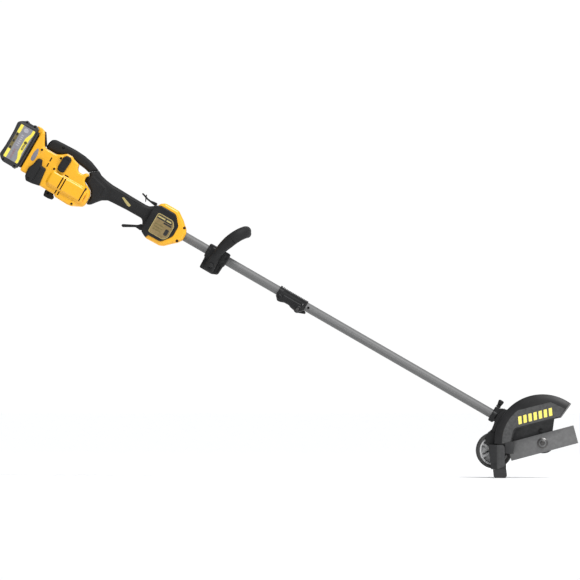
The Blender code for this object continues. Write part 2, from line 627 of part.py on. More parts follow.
def guard():
    """One channel round the top and back of the blade, with a cut-away near wall."""
    edge = arc((0, 2), GUARD_RADIUS, 53.5, 181.5, 22)
    outline = edge + [(-103.7, -3.9), (-103.7, -28), (-60, -31), (0, -26), (24, -18), (29, 36),
                      (33, 66), (50, 70)]
    shell = flat("guard", outline, -58, -21)
    channel = arc((0, 2), GUARD_RADIUS - 4, 30, 180, 22) + [(-128.5, -60), (160, -60)]
    window = [(52, 70.6), (33, 67), (-73.8, 39.7, 5), (-78, 35), (-86.5, 3), (-80, 3),
              (-80, -60), (100, -60), (100, 70.6)]
    cut(shell, flat("channel", channel, -55, -24, cutter=True),
        flat("window", window, -60, -54.5, cutter=True),
        rod("guard_spindle_hole", (0, -30, 0), (0, -15, 0), 14, 24, cutter=True),
        rod("guard_knob_hole", (-62, -30, 0), (-62, -15, 0), 3.4, 12, cutter=True))
    finish(fit(shell, "head"), GREY, 0.55)


def skirt():
    """The box behind the blade that catches soil, and the rubber flap under it."""
    plan = [(-149, -22), (-149, -40), (-126, -62), (-104.2, -62), (-104.2, -22)]
    hollow = [(-146, -25), (-146, -38.7), (-124.8, -59), (-101, -59), (-101, -25)]
    shell = flat("skirt", plan, -72, -4.4, axis="Z")
    cut(shell, flat("skirt_hollow", hollow, -80, -7.4, axis="Z", cutter=True))
    finish(fit(shell, "head"), GREY, 0.6)
    sheet = flat("flap", [(-137, -73), (-135, -92), (-132, -96, 3), (-104, -96, 4),
                          (-98, -90), (-100, -73), (-105.6, -73), (-105.6, -77, 1),
                          (-109.6, -77, 1), (-109.6, -73), (-124, -73), (-124, -77, 1),
                          (-128, -77, 1), (-128, -73)], -61, -58)
    finish(fit(sheet, "flap"), BLACK, 0.85)


def guard_clamp():
    clamp = flat("guard_clamp", [(1196, 24, 2), (1210, 24), (1216, 28, 2), (1233, 28, 2),
                                 (1234, 19, 2), (1212, 14), (1210, -20, 2), (1196, -20, 2)],
                 -16.4, 16.4)
    cut(clamp, rod("clamp_hole", (1190, 0, 0), (1240, 0, 0), TUBE_RADIUS + GAP, 24, cutter=True),
        rod("clamp_stem_way", (1203, 0, 10), (1203, 0, 30), 3.3, 12, cutter=True))
    finish(fit(clamp, "attachment"), BLACK, 0.5)
    knob = join(rod("clamp_knob", (1203, 0, 24.4), (1203, 0, 46), 5, 16, end_radius=6.5),
                rod("clamp_stem", (1203, 0, 13.4), (1203, 0, 26), 3, 12, cutter=True),
                box("clamp_wing", (1200.5, -11, 34), (1205.5, 11, 45), cutter=True))
    finish(fit(knob, "clamp_knob"), BLACK, 0.5)


def wheel():
    """The depth wheel on its arm, which swings about the spindle."""
    slot = arc((0, 0), 65.8, 163, 197, 8) + arc((0, 0), 58.2, 197, 163, 8)
    outline = arc((0, 0), 30, -130, 110, 14) + [(-60, 34), (-135, 46, 6), (-139, 38, 4),
                                                (-150, 29, 4), (-157, 18, 6), (-157, 2, 6),
                                                (-147, -8, 4), (-146, -34, 6), (-120, -36, 8),
                                                (-60, -31)]
    arm = flat("wheel_arm", outline, -20.2, -16.9, holes=[circle((0, 0), 24.4, 28), slot])
    hub_at = (-132.5, -20.5)
    cut(arm, rod("axle_way", (hub_at[0], -30, hub_at[1]), (hub_at[0], -10, hub_at[1]), 4.4, 16,
                 cutter=True))
    finish(fit(arm, "wheel_arm"), BLACK, 0.5)
    tyre = rod("wheel_tyre", (hub_at[0], -15.9, hub_at[1]), (hub_at[0], 16, hub_at[1]),
               WHEEL_RADIUS, 32, inside=40.3)
    finish(fit(tyre, "wheel"), BLACK, 0.85)
    windows = []
    for spoke in range(6):
        start = 60 * spoke
        loop = arc(hub_at, 35, start + 6, start + 54, 4) + arc(hub_at, 15, start + 48,
                                                               start + 12, 2)
        windows.append(loop)
    web = rod("wheel_web", (hub_at[0], -1.6, hub_at[1]), (hub_at[0], 1.6, hub_at[1]), 37, 24,
              cutter=True, inside=8)
    hub_disc = join(flat("wheel_hub", circle(hub_at, 40, 32), -13, 13,
                         holes=[circle(hub_at, 4.7, 16)] + windows), web)
    finish(fit(hub_disc, "wheel"), PALE, 0.5)
    axle = join(rod("wheel_axle", (hub_at[0], -20.6, hub_at[1]), (hub_at[0], 18, hub_at[1]),
                    4.1, 16),
                rod("axle_head", (hub_at[0], 13.6, hub_at[1]), (hub_at[0], 18, hub_at[1]), 8,
                    6, cutter=True))
    finish(fit(axle, "wheel_arm"), STEEL, 0.3, 1.0)
    knob = join(toothed("depth_knob", 8, 12, -16.5, -4, (-62, 0), axis="Y", depth=1.5),
                rod("depth_stem", (-62, -23.5, 0), (-62, -10, 0), 3, 12, cutter=True))
    finish(fit(knob, "depth_knob"), BLACK, 0.6)


# ---------------------------------------------------------------- assembly

def bodies():
    up = MOTOR_HEIGHT
    body("powerhead", None, (0, 0, 0), SHAFT_TILT)
    body("battery", "powerhead", (-302, 0, -5))
    body("gauge_button", "battery", (-289.5, -BATTERY_HALF, 4))
    body("battery_release", "battery", (-285, 0, -72))
    body("motor", "powerhead", (-110, 0, up))
    body("upper_drive", "powerhead", (0, 0, 0))
    body("trigger", "powerhead", (104, 0, -38))
    body("lock_off", "powerhead", (104, 0, 36))
    body("aux_handle", "powerhead", (322, 0, 0))
    body("handle_knob", "aux_handle", (321, 50, -33))
    body("coupler_knob", "powerhead", (588, 20, -18.5))
    body("coupler_button", "powerhead", (594.4, -18, 0))
    body("attachment", "powerhead", (JOINT_AT, 0, 0))
    body("lower_drive", "attachment", (JOINT_AT + 20, 0, 0))
    body("clamp_knob", "attachment", (1203, 0, 24.4))
    body("head", "attachment", (BLADE_AT, 0, 0), -SHAFT_TILT)
    body("cutter", "head", (0, -38.5, 0))
    body("wheel_arm", "head", (0, -18.5, 0))
    body("wheel", "wheel_arm", (-132.5, 0, -20.5))
    body("depth_knob", "head", (-62, -16.5, 0))
    body("flap", "head", (-118, -59.5, -73))


def main():
    clear_scene()
    bodies()
    housing()
    battery_rail()
    drive_unit()
    top_handle()
    main_grip()
    trigger()
    lock_off_lever()
    hub()
    bumpers()
    battery()
    tubes()
    coupler()
    aux_handle()
    gear_case()
    cutter()
    guard()
    skirt()
    guard_clamp()
    wheel()
    bpy.context.view_layer.update()


main()
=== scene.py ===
import json
import math

import bmesh
import bpy
from mathutils import Matrix, Vector, kdtree

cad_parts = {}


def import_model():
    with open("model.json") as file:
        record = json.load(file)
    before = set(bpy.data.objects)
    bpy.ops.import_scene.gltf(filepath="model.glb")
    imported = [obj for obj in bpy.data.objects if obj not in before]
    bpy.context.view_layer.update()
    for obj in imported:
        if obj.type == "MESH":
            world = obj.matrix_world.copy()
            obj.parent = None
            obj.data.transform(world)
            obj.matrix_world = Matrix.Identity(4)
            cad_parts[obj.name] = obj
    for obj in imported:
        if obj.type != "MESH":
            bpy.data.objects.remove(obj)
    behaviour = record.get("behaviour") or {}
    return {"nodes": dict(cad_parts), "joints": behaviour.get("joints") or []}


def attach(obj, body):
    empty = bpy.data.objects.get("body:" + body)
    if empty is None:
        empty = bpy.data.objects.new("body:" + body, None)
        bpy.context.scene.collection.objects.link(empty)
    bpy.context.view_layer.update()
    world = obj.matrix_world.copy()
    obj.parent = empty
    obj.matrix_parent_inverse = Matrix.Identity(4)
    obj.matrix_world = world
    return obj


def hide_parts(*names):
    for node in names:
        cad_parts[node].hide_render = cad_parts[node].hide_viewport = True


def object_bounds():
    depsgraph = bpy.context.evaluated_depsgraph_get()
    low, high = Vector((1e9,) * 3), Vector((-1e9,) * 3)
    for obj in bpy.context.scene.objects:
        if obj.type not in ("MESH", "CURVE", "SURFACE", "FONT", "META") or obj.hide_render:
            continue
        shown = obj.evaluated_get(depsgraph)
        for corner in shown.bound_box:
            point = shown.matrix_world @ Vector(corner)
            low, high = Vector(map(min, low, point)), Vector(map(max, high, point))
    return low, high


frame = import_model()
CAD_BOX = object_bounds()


# The lawn edger's finished look: moulded yellow and black shells, rubber, painted tube, ground
# steel and a ribbed wheel.  Pieces are shaped in two working frames, both in millimetres: the
# shaft frame, whose x runs down the shaft from the middle of the grip, and the head frame, level
# with the ground, with the blade's centre at its origin.
MM = 0.001
JOINTS = {joint["name"]: joint for joint in frame["joints"]}
SHAFT_LINE = Vector(JOINTS["attachment_slide"]["axis"])
TILT = math.atan2(-SHAFT_LINE.z, SHAFT_LINE.x)
BLADE_CENTRE = Vector(JOINTS["blade_spin"]["pos_m"])
SHAFT = Matrix.Rotation(TILT, 4, "Y") @ Matrix.Scale(MM, 4)
HEAD = Matrix.Translation((BLADE_CENTRE.x, 0.0, BLADE_CENTRE.z)) @ Matrix.Scale(MM, 4)
SIDES = (("left", 1), ("right", -1))


def on_shaft(node):
    """A node's lowest and highest corners in the shaft frame, in millimetres."""
    back = SHAFT.inverted()
    places = [back @ vertex.co for vertex in frame["nodes"][node].data.vertices]
    return (Vector((min((place[way] for place in places)) for way in range(3))),
            Vector((max((place[way] for place in places)) for way in range(3))))


HOUSING = on_shaft("housing_left")[1].y      # half width over the motor blister
HUB = on_shaft("hub_left")[1].y
TUBE_END = on_shaft("lower_tube")[1].x
BLADE_AT = (SHAFT.inverted() @ Vector((BLADE_CENTRE.x, 0.0, BLADE_CENTRE.z))).x


# ------------------------------------------------------------------ outlines

def rounded(corners, steps=6):
    """The points of an outline of (along, up, corner radius) corners."""
    points = []
    for index, corner in enumerate(corners):
        here = Vector(corner[:2])
        if len(corner) < 3:
            points.append(here)
            continue
        back = Vector(corners[index - 1][:2]) - here
        ahead = Vector(corners[(index + 1) % len(corners)][:2]) - here
        half = back.angle(ahead) / 2
        reach = min(corner[2] / math.tan(half), 0.49 * back.length, 0.49 * ahead.length)
        middle = here + (back.normalized() + ahead.normalized()).normalized() * (
            reach / math.cos(half))
        start = here + back.normalized() * reach - middle
        sweep = -start.angle_signed(here + ahead.normalized() * reach - middle)
        for step in range(steps + 1):
            points.append(middle + Matrix.Rotation(sweep * step / steps, 2) @ start)
    return points


def arc(centre, radius, start, end, steps):
    return [(centre[0] + radius * math.cos(math.radians(start + (end - start) * step / steps)),
             centre[1] + radius * math.sin(math.radians(start + (end - start) * step / steps)))
            for step in range(steps + 1)]


def circle(centre, radius, steps=40):
    return arc(centre, radius, 0.0, 360.0 - 360.0 / steps, steps - 1)


def flow(points, steps=4):
    """A smooth line through points."""
    points = [Vector(point) for point in points]
    held = [points[0], *points, points[-1]]
    line = []
    for a, b, c, d in zip(held, held[1:], held[2:], held[3:]):
        for step in range(steps):
            t = step / steps
            line.append(0.5 * (2 * b + (c - a) * t + (2 * a - 5 * b + 4 * c - d) * t ** 2
                               + (3 * b - a - 3 * c + d) * t ** 3))
    return line + [points[-1]]


# ------------------------------------------------------------------ solids, in a working frame

def slab(outline, low, high, across="y", steps=6):
    """A flat outline, its corners rounded, given thickness across y, x or z."""
    low, high = sorted((low, high))
    place = {"y": lambda p: (p[0], low, p[1]), "x": lambda p: (low, p[0], p[1]),
             "z": lambda p: (p[0], p[1], low)}[across]
    work = bmesh.new()
    face = work.faces.new([work.verts.new(place(point)) for point in rounded(outline, steps)])
    made = bmesh.ops.extrude_face_region(work, geom=[face])
    rise = high - low
    way = {"y": (0, rise, 0), "x": (rise, 0, 0), "z": (0, 0, rise)}[across]
    lifted = [part for part in made["geom"] if isinstance(part, bmesh.types.BMVert)]
    bmesh.ops.translate(work, vec=way, verts=lifted)
    bmesh.ops.recalc_face_normals(work, faces=work.faces)
    return work


def block(low, high):
    work = bmesh.new()
    bmesh.ops.create_cube(work, size=1.0)
    low, high = Vector(low), Vector(high)
    bmesh.ops.scale(work, vec=high - low, verts=work.verts)
    bmesh.ops.translate(work, vec=(low + high) / 2, verts=work.verts)
    return work


def inset(outline, depth, spacing=2.0):
    """An outline drawn in by a depth; points that would cross over are left out."""
    dense = []
    corners = [Vector(point[:2]) for point in outline]
    for here, ahead in zip(corners, corners[1:] + corners[:1]):
        parts = max(1, math.ceil((ahead - here).length / spacing))
        dense += [here.lerp(ahead, part / parts) for part in range(parts)]
    area = sum(a.x * b.y - b.x * a.y for a, b in zip(corners, corners[1:] + corners[:1]))
    inward = 1 if area > 0 else -1
    tree = kdtree.KDTree(len(dense))
    for index, point in enumerate(dense):
        tree.insert((*point, 0), index)
    tree.balance()
    kept = []
    for index, point in enumerate(dense):
        along = dense[(index + 1) % len(dense)] - dense[index - 1]
        if along.length < 1e-6:
            continue
        moved_in = point + Vector((-along.y, along.x)).normalized() * inward * depth
        if tree.find((*moved_in, 0))[2] >= depth * 0.985:
            kept.append(moved_in)
    return kept


def crowned(outline, low, high, crown, across="y", steps=5):
    """A stack of slabs whose rims curve over to their faces, to be moulded into one."""
    low, high = sorted((low, high))
    outline = rounded(outline)
    layers = []
    for step in range(steps + 1):
        turn = math.pi / 2 * (step + 0.5) / (steps + 1)
        drawn_in = inset(outline, crown * (1 - math.cos(turn)))
        depth = crown * (1 - math.sin(turn))
        layers.append(slab(drawn_in, low + depth, high - depth, across))
    return together(*layers)


def turned(profile, centre, axis, segments=48):
    """A profile of (along the axis, radius) points spun round the axis; ends at radius 0."""
    work = bmesh.new()
    verts = [work.verts.new((radius, 0, along)) for along, radius in profile]
    edges = [work.edges.new(pair) for pair in zip(verts, verts[1:])]
    bmesh.ops.spin(work, geom=verts + edges, cent=(0, 0, 0), axis=(0, 0, 1),
                   angle=math.tau, steps=segments, use_merge=True, use_duplicate=False)
    bmesh.ops.remove_doubles(work, verts=work.verts, dist=0.001)
    bmesh.ops.recalc_face_normals(work, faces=work.faces)
    turn = Vector(axis).to_track_quat("Z", "Y").to_matrix().to_4x4()
    bmesh.ops.transform(work, matrix=Matrix.Translation(centre) @ turn, verts=work.verts)
    return work


def disc(start, end, radius, edge=0.6, segments=48, inside=0.0):
    """A round bar between two points with eased rims, hollow where it has an inside radius."""
    start, end = Vector(start), Vector(end)
    length = (end - start).length
    rim = min(edge, length / 3, radius / 3)
    outer = [(0.0, radius - rim), (rim * 0.3, radius - rim * 0.3), (rim, radius),
             (length - rim, radius), (length - rim * 0.3, radius - rim * 0.3),
             (length, radius - rim)]
    if inside:
        profile = [(0.0, inside + rim * 0.5)] + outer + [(length, inside + rim * 0.5),
                                                        (length - rim * 0.5, inside),
                                                        (rim * 0.5, inside),
                                                        (0.0, inside + rim * 0.5)]
    else:
        profile = [(0.0, 0.0)] + outer + [(length, 0.0)]
    return turned(profile, start, end - start, segments)


def pin(at, low, high, *size):
    """A round bar across the object, from low to high."""
    return disc((at[0], low, at[1]), (at[0], high, at[1]), *size)


def sleeve(start, end, *size):
    """A round bar along the shaft's own line."""
    return disc((start, 0, 0), (end, 0, 0), *size)


def sweep(line, radii, sides=20):
    """A bar along a line; radii is one radius or one for each point."""
    line = [Vector(point) for point in line]
    if not isinstance(radii, list):
        radii = [radii] * len(line)
    work = bmesh.new()
    loops = []
    side = Vector((0, 1, 0))
    for place, before, after, radius in zip(line, line[:1] + line, line[1:] + line[-1:], radii):
        ahead = (after - before).normalized()
        side = (side - ahead * side.dot(ahead)).normalized()
        up = ahead.cross(side)
        ring = [work.verts.new(place + (side * math.cos(math.tau * k / sides)
                                        + up * math.sin(math.tau * k / sides)) * radius)
                for k in range(sides)]
        loops.append([work.edges.new((ring[k - 1], ring[k])) for k in range(sides)])
    for first, second in zip(loops, loops[1:]):
        bmesh.ops.bridge_loops(work, edges=first + second)
    bmesh.ops.holes_fill(work, edges=work.edges, sides=0)
    bmesh.ops.recalc_face_normals(work, faces=work.faces)
    return work


def together(*works):
    """Several working meshes as one."""
    whole = bmesh.new()
    for work in works:
        mesh = bpy.data.meshes.new("joining")
        work.to_mesh(mesh)
        work.free()
        whole.from_mesh(mesh)
        bpy.data.meshes.remove(mesh)
    return whole


def eased(work, width, segments=3, sharper_than=30.0):
    """Round the sharp edges of a mesh."""
    edges = [edge for edge in work.edges if len(edge.link_faces) == 2
             and edge.calc_face_angle() > math.radians(sharper_than)]
    bmesh.ops.bevel(work, geom=edges, offset=width, segments=segments, profile=0.5,
                    affect="EDGES", clamp_overlap=True, material=-1)
    return work


def moved(work, matrix):
    bmesh.ops.transform(work, matrix=matrix, verts=work.verts)
    return work


# ------------------------------------------------------------------ pieces

def as_object(name, work, axes=SHAFT):
    bmesh.ops.transform(work, matrix=axes, verts=work.verts)
    mesh = bpy.data.meshes.new(name)
    work.to_mesh(mesh)
    work.free()
    thing = bpy.data.objects.new(name, mesh)
    bpy.context.scene.collection.objects.link(thing)
    return thing


def applied(thing):
    """Give an object the mesh that its modifiers make."""
    bpy.context.view_layer.update()
    graph = bpy.context.evaluated_depsgraph_get()
    mesh = bpy.data.meshes.new_from_object(thing.evaluated_get(graph))
    thing.modifiers.clear()
    old, thing.data = thing.data, mesh
    bpy.data.meshes.remove(old)
    return thing


def moulded(name, work, voxel=1.5, rounds=12, axes=SHAFT):
    """Melt overlapping solids into one moulding with soft edges and fillets."""
    thing = as_object(name, work, axes)
    melt = thing.modifiers.new("melt", "REMESH")
    melt.mode = "VOXEL"
    melt.voxel_size = voxel * MM
    melt.use_smooth_shade = True
    soften = thing.modifiers.new("soften", "SMOOTH")
    soften.factor = 0.5
    soften.iterations = rounds
    return applied(thing)


def carved(thing, *cutters, axes=SHAFT):
    """Cut solids out of a moulding, one set after another."""
    for cutter in cutters:
        knife = as_object(thing.name + "_cutter", cutter, axes)
        cut = thing.modifiers.new("cut", "BOOLEAN")
        cut.operation = "DIFFERENCE"
        cut.object = knife
        cut.solver = "MANIFOLD"
        applied(thing)
        bpy.data.objects.remove(knife, do_unlink=True)
    return thing


def halved(thing, name, sign, gap=0.25):
    """One side of a moulding, cut just off the centre line and closed there."""
    half = thing.copy()
    half.data = thing.data.copy()
    half.name = half.data.name = name
    bpy.context.scene.collection.objects.link(half)
    low, high = sorted((sign * gap, -sign * 200))
    return carved(half, block((-500, low, -300), (2000, high, 300)))


def settle(thing, body, finish, replaces=(), smooth=35.0):
    """Give a finished piece its material and its body, and hide the CAD nodes that it stands for."""
    thing.data.materials.clear()
    thing.data.materials.append(FINISH[finish])
    thing.data.shade_smooth()
    thing.data.set_sharp_from_angle(angle=math.radians(smooth))
    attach(thing, body)
    if replaces:
        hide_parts(*replaces)


def piece(name, work, axes, body, finish, replaces=(), smooth=35.0):
    settle(as_object(name, work, axes), body, finish, replaces, smooth)


def shells(whole, name, body, finish, node, gap=0.12, sides=SIDES):
    """A moulding's two halves, each standing for its own CAD half."""
    for side, sign in sides:
        settle(halved(whole, name + side, sign, gap), body, finish, [node + side])
    bpy.data.objects.remove(whole, do_unlink=True)


# ------------------------------------------------------------------ surface effects

def wire(tree, node, inputs):
    """Set a node's inputs: a socket is joined, and anything else is a value."""
    for label, value in inputs.items():
        if isinstance(value, bpy.types.NodeSocket):
            tree.links.new(value, node.inputs[label])
        else:
            node.inputs[label].default_value = value


def add_node(tree, kind, inputs, **settings):
    node = tree.nodes.new("ShaderNode" + kind)
    for label, value in settings.items():
        setattr(node, label, value)
    wire(tree, node, inputs)
    return node


def group(name, values, results):
    """An empty shader group with the given number inputs and the given outputs."""
    tree = bpy.data.node_groups.new(name, "ShaderNodeTree")
    for label, default in values.items():
        socket = tree.interface.new_socket(label, in_out="INPUT", socket_type="NodeSocketFloat")
        socket.default_value = default
    for label, kind in results.items():
        tree.interface.new_socket(label, in_out="OUTPUT", socket_type=kind)
    return tree, tree.nodes.new("NodeGroupInput").outputs, tree.nodes.new("NodeGroupOutput")


def speckle(tree, scale, detail=3.0, stretch=None, turn=(0, 0, 0)):
    """Noise from 0 to 1 on object coordinates, in speckles of about 1/scale metres."""
    place = add_node(tree, "TexCoord", {}).outputs["Object"]
    if stretch:
        turned_place = {"Vector": place, "Rotation": turn, "Scale": stretch}
        place = add_node(tree, "Mapping", turned_place).outputs[0]
    look = {"Vector": place, "Scale": scale, "Detail": detail}
    return add_node(tree, "TexNoise", look).outputs["Fac"]


def ranged(tree, mask, low, high, start=0.0, end=1.0):
    limits = {"Value": mask, "From Min": start, "From Max": end, "To Min": low, "To Max": high}
    return add_node(tree, "MapRange", limits).outputs[0]


def grain_group():
    """Moulded grain: a fine bump, and a mask of faint rubbed patches and dust."""
    tree, given, end = group("moulded_grain", {"Grain Scale": 2500.0, "Grain Depth": 0.1,
                                               "Patch Scale": 22.0},
                             {"Normal": "NodeSocketVector", "Patches": "NodeSocketFloat"})
    fine = speckle(tree, given["Grain Scale"], 2.0)
    bump = add_node(tree, "Bump", {"Distance": 0.0002, "Strength": given["Grain Depth"],
                                   "Height": fine})
    patches = ranged(tree, speckle(tree, given["Patch Scale"], 5.0), 0.0, 1.0, 0.35, 0.75)
    wire(tree, end, {"Normal": bump.outputs[0], "Patches": patches})
    return tree


def wear_group():
    """Where edges stand proud: a mask that a finish brightens where it has been rubbed."""
    tree, given, end = group("edge_wear", {"Breakup Scale": 140.0}, {"Wear": "NodeSocketFloat"})
    proud = add_node(tree, "NewGeometry", {}).outputs["Pointiness"]
    edges = ranged(tree, proud, 0.0, 1.0, 0.53, 0.62)
    broken = speckle(tree, given["Breakup Scale"], 4.0)
    worn = add_node(tree, "Math", {0: edges, 1: broken}, operation="MULTIPLY", use_clamp=True)
    wire(tree, end, {"Wear": worn.outputs[0]})
    return tree


GRAIN = grain_group()
WEAR = wear_group()


def blended(tree, mask, first, second):
    """A colour that goes from first to second with a mask; one number is a grey."""
    inputs = {0: mask, 6: first, 7: second}
    for label, value in inputs.items():
        if isinstance(value, float):
            inputs[label] = (value, value, value, 1.0)
        elif isinstance(value, tuple):
            inputs[label] = (*value, 1.0)
    return add_node(tree, "Mix", inputs, data_type="RGBA").outputs[2]


def finished(name, metallic, coat, specular, paint):
    """A material whose colour, roughness and normal come from paint(tree)."""
    material = bpy.data.materials.new(name)
    material.use_nodes = True
    tree = material.node_tree
    base, worn_colour, roughness, normal = paint(tree)
    wear = add_node(tree, "Group", {}, node_tree=WEAR).outputs["Wear"]
    wire(tree, tree.nodes["Principled BSDF"],
         {"Metallic": metallic, "Coat Weight": coat, "Coat Roughness": 0.2,
          "Specular IOR Level": specular, "Base Color": blended(tree, wear, base, worn_colour),
          "Roughness": roughness, "Normal": normal})
    return material


def plastic(name, colour, patch_colour, worn_colour, rough=(0.4, 0.55), grain=2500.0, depth=0.1,
            patches=22.0, metallic=0.0, coat=0.0, specular=0.5):
    """A moulding: grained, faintly patchy, and rubbed where its edges stand proud."""
    def paint(tree):
        surface = add_node(tree, "Group", {}, node_tree=GRAIN)
        wire(tree, surface, {"Grain Scale": grain, "Grain Depth": depth, "Patch Scale": patches})
        mask, normal = surface.outputs["Patches"], surface.outputs["Normal"]
        base = blended(tree, mask, colour, patch_colour)
        return base, worn_colour, ranged(tree, mask, *rough), normal
    return finished(name, metallic, coat, specular, paint)


def metal(name, colour, streak_colour, worn_colour, rough=(0.25, 0.45), streaks=(30, 900, 900),
          turn=(0, 0, 0), depth=0.15, metallic=1.0):
    """Metal with fine tool marks, longer along the way the mapping is squeezed."""
    def paint(tree):
        marks = speckle(tree, 1.0, 3.0, streaks, turn)
        clouds = speckle(tree, 35.0, 4.0)
        mask = add_node(tree, "Math", {0: marks, 1: clouds}, operation="MULTIPLY").outputs[0]
        bump = add_node(tree, "Bump", {"Distance": 0.0001, "Strength": depth, "Height": marks})
        base = blended(tree, mask, colour, streak_colour)
        return base, worn_colour, ranged(tree, marks, *rough), bump.outputs[0]
    return finished(name, metallic, 0.0, 0.5, paint)


def finishes():
    """Every material of the edger, by name."""
    return {
        "yellow": plastic("yellow_housing", (0.86, 0.435, 0.012), (0.83, 0.40, 0.011), (0.95, 0.60, 0.05),
            (0.34, 0.46), 1800.0, 0.06, coat=0.15),
        "black": plastic("black_housing", (0.008, 0.008, 0.0085), (0.012, 0.012, 0.0125), 0.045,
            (0.42, 0.58), 2200.0, 0.18, specular=0.3),
        "rubber": plastic("black_rubber", (0.010, 0.010, 0.0105), (0.014, 0.014, 0.0145), 0.04,
            (0.60, 0.78), 1600.0, 0.30, specular=0.3),
        "battery": plastic("battery_plastic", (0.028, 0.028, 0.030), (0.036, 0.036, 0.038), 0.09,
            (0.45, 0.6), 2000.0, 0.2, specular=0.35),
        "guard": plastic("guard_plastic", (0.024, 0.024, 0.025), (0.029, 0.029, 0.030), 0.10,
            (0.48, 0.64), 1800.0, 0.22, specular=0.3),
        "rim": plastic("guard_rim_plastic", (0.011, 0.011, 0.0115), (0.015, 0.015, 0.0155), 0.07,
            (0.42, 0.58), 1800.0, 0.22, specular=0.3),
        # painted highlight: a lighter grey for the guard's front rib, standing for the light that its
        # chamfer catches
        "edge": plastic("guard_edge_painted_highlight", 0.13, 0.15, 0.2, (0.4, 0.5), 1800.0, 0.2),
        "casting": plastic("painted_casting", (0.022, 0.022, 0.024), (0.03, 0.03, 0.031), 0.20,
            (0.32, 0.5), 700.0, 0.35, metallic=0.2),
        "wheel": plastic("wheel_plastic", 0.42, (0.36, 0.36, 0.355), 0.66, (0.4, 0.55), 2000.0,
            0.12),
        "tread": plastic("tyre_rubber", 0.018, (0.04, 0.038, 0.035), 0.07, (0.7, 0.9), 900.0,
            0.45, patches=60.0),
        "label_grey": plastic("label_film_grey", (0.19, 0.185, 0.225), (0.21, 0.205, 0.24), 0.3,
            (0.25, 0.35), 3000.0, 0.03),
        "label_yellow": plastic("label_film_yellow", (0.80, 0.68, 0.05), (0.76, 0.64, 0.045),
            (1.0, 0.85, 0.2), (0.25, 0.35), 3000.0, 0.03),
        "label_olive": plastic("label_film_olive", (0.075, 0.055, 0.014), (0.095, 0.07, 0.018),
            (0.3, 0.25, 0.1), (0.3, 0.4), 3000.0, 0.03),
        "label_khaki": plastic("label_film_khaki", (0.42, 0.35, 0.14), (0.38, 0.31, 0.12),
            (0.6, 0.5, 0.2), (0.3, 0.4), 3000.0, 0.03),
        "mark": plastic("guard_mark_paint", (0.82, 0.68, 0.06), (0.77, 0.63, 0.055),
            (1.0, 0.9, 0.3), (0.3, 0.42), 2500.0, 0.05),
        "tube": metal("tube_paint", 0.125, 0.145, 0.24, (0.52, 0.62), (25, 1400, 1400),
            (0, -TILT, 0), 0.06, 0.15),
        "blade": metal("ground_blade_steel", 0.118, 0.130, 0.4, (0.42, 0.54), (1300, 1300, 18),
            (0, math.radians(-15), 0), 0.18, 0.75),
        "steel": metal("turned_steel", 0.13, 0.18, 0.4, (0.38, 0.5)),
        "dark_steel": metal("blackened_steel", (0.055, 0.052, 0.05), (0.09, 0.085, 0.08), 0.3,
            (0.35, 0.5)),
        "label_pale": plastic("label_film_pale", (0.34, 0.33, 0.38), (0.31, 0.30, 0.35), 0.5,
            (0.25, 0.35), 3000.0, 0.03),
        "label_red": plastic("label_film_red", (0.20, 0.11, 0.13), (0.18, 0.10, 0.12),
            (0.4, 0.3, 0.3), (0.25, 0.35), 3000.0, 0.03),
        "label_brown": plastic("label_film_brown", (0.15, 0.10, 0.028), (0.115, 0.078, 0.022),
            (0.4, 0.3, 0.15), (0.3, 0.4), 3000.0, 0.03),
        "copper": metal("copper_winding", (0.62, 0.24, 0.09), (0.75, 0.34, 0.14), (0.9, 0.5, 0.3),
            (0.25, 0.4), (900, 60, 900)),
        "board": plastic("board_lacquer", (0.01, 0.10, 0.035), (0.012, 0.13, 0.045),
            (0.1, 0.3, 0.1), (0.2, 0.3), 900.0, 0.2),
        "cells": plastic("cell_wrap", (0.06, 0.14, 0.26), (0.07, 0.16, 0.29), (0.2, 0.3, 0.4),
            (0.25, 0.35), 900.0, 0.05),
    }


FINISH = finishes()


# ------------------------------------------------------------------ battery

BATTERY_SIDE = on_shaft("battery_case")[1].y


def battery_case():
    outline = [(-337.5, 44, 7), (-330, 51, 6), (-318, 57.5, 8), (-283, 57, 8), (-276.2, 51, 3),
            (-276.2, -67, 3), (-285, -71.5, 6), (-318, -71.5, 8), (-328, -67, 7), (-337.5, -57, 7),
            (-335, -30), (-334.6, -6), (-335, 18)]
    core = slab(outline, -BATTERY_SIDE + 1.5, BATTERY_SIDE - 1.5)
    frame_outer = [(-333, 47, 6), (-279, 50, 6), (-279, -61, 6), (-330, -61, 6)]
    faces = slab(frame_outer, -BATTERY_SIDE, BATTERY_SIDE)
    bosses = [pin((along, up), -36, 36, 5.4) for along, up in ((-314, 55), (-289, 55), (-321, -65),
            (-285, -66))]
    case = moulded("battery_case_moulding", together(core, faces, *bosses), 1.5, 6)
    recess = [slab([(-326.3, 44.7, 4), (-280.3, 44.7, 4), (-280.3, -57.7, 4), (-326.3, -57.7, 4)],
            sign * (BATTERY_SIDE - 0.9), sign * (BATTERY_SIDE + 5)) for _, sign in SIDES]
    wells = [pin((along, up), sign * 30, sign * 45, 2.6, 0.1, 24) for along, up in ((-314, 55),
            (-289, 55), (-321, -65), (-285, -66)) for sign in (-1, 1)]
    gauge = pin((-289.5, 4), -50, -32, 4.3, 0.1, 24)
    release = block((-291, -15.6, -80), (-279.4, 15.6, -66))
    carved(case, together(*recess, *wells, gauge, release))
    settle(case, "battery", "battery", ["battery_case"])


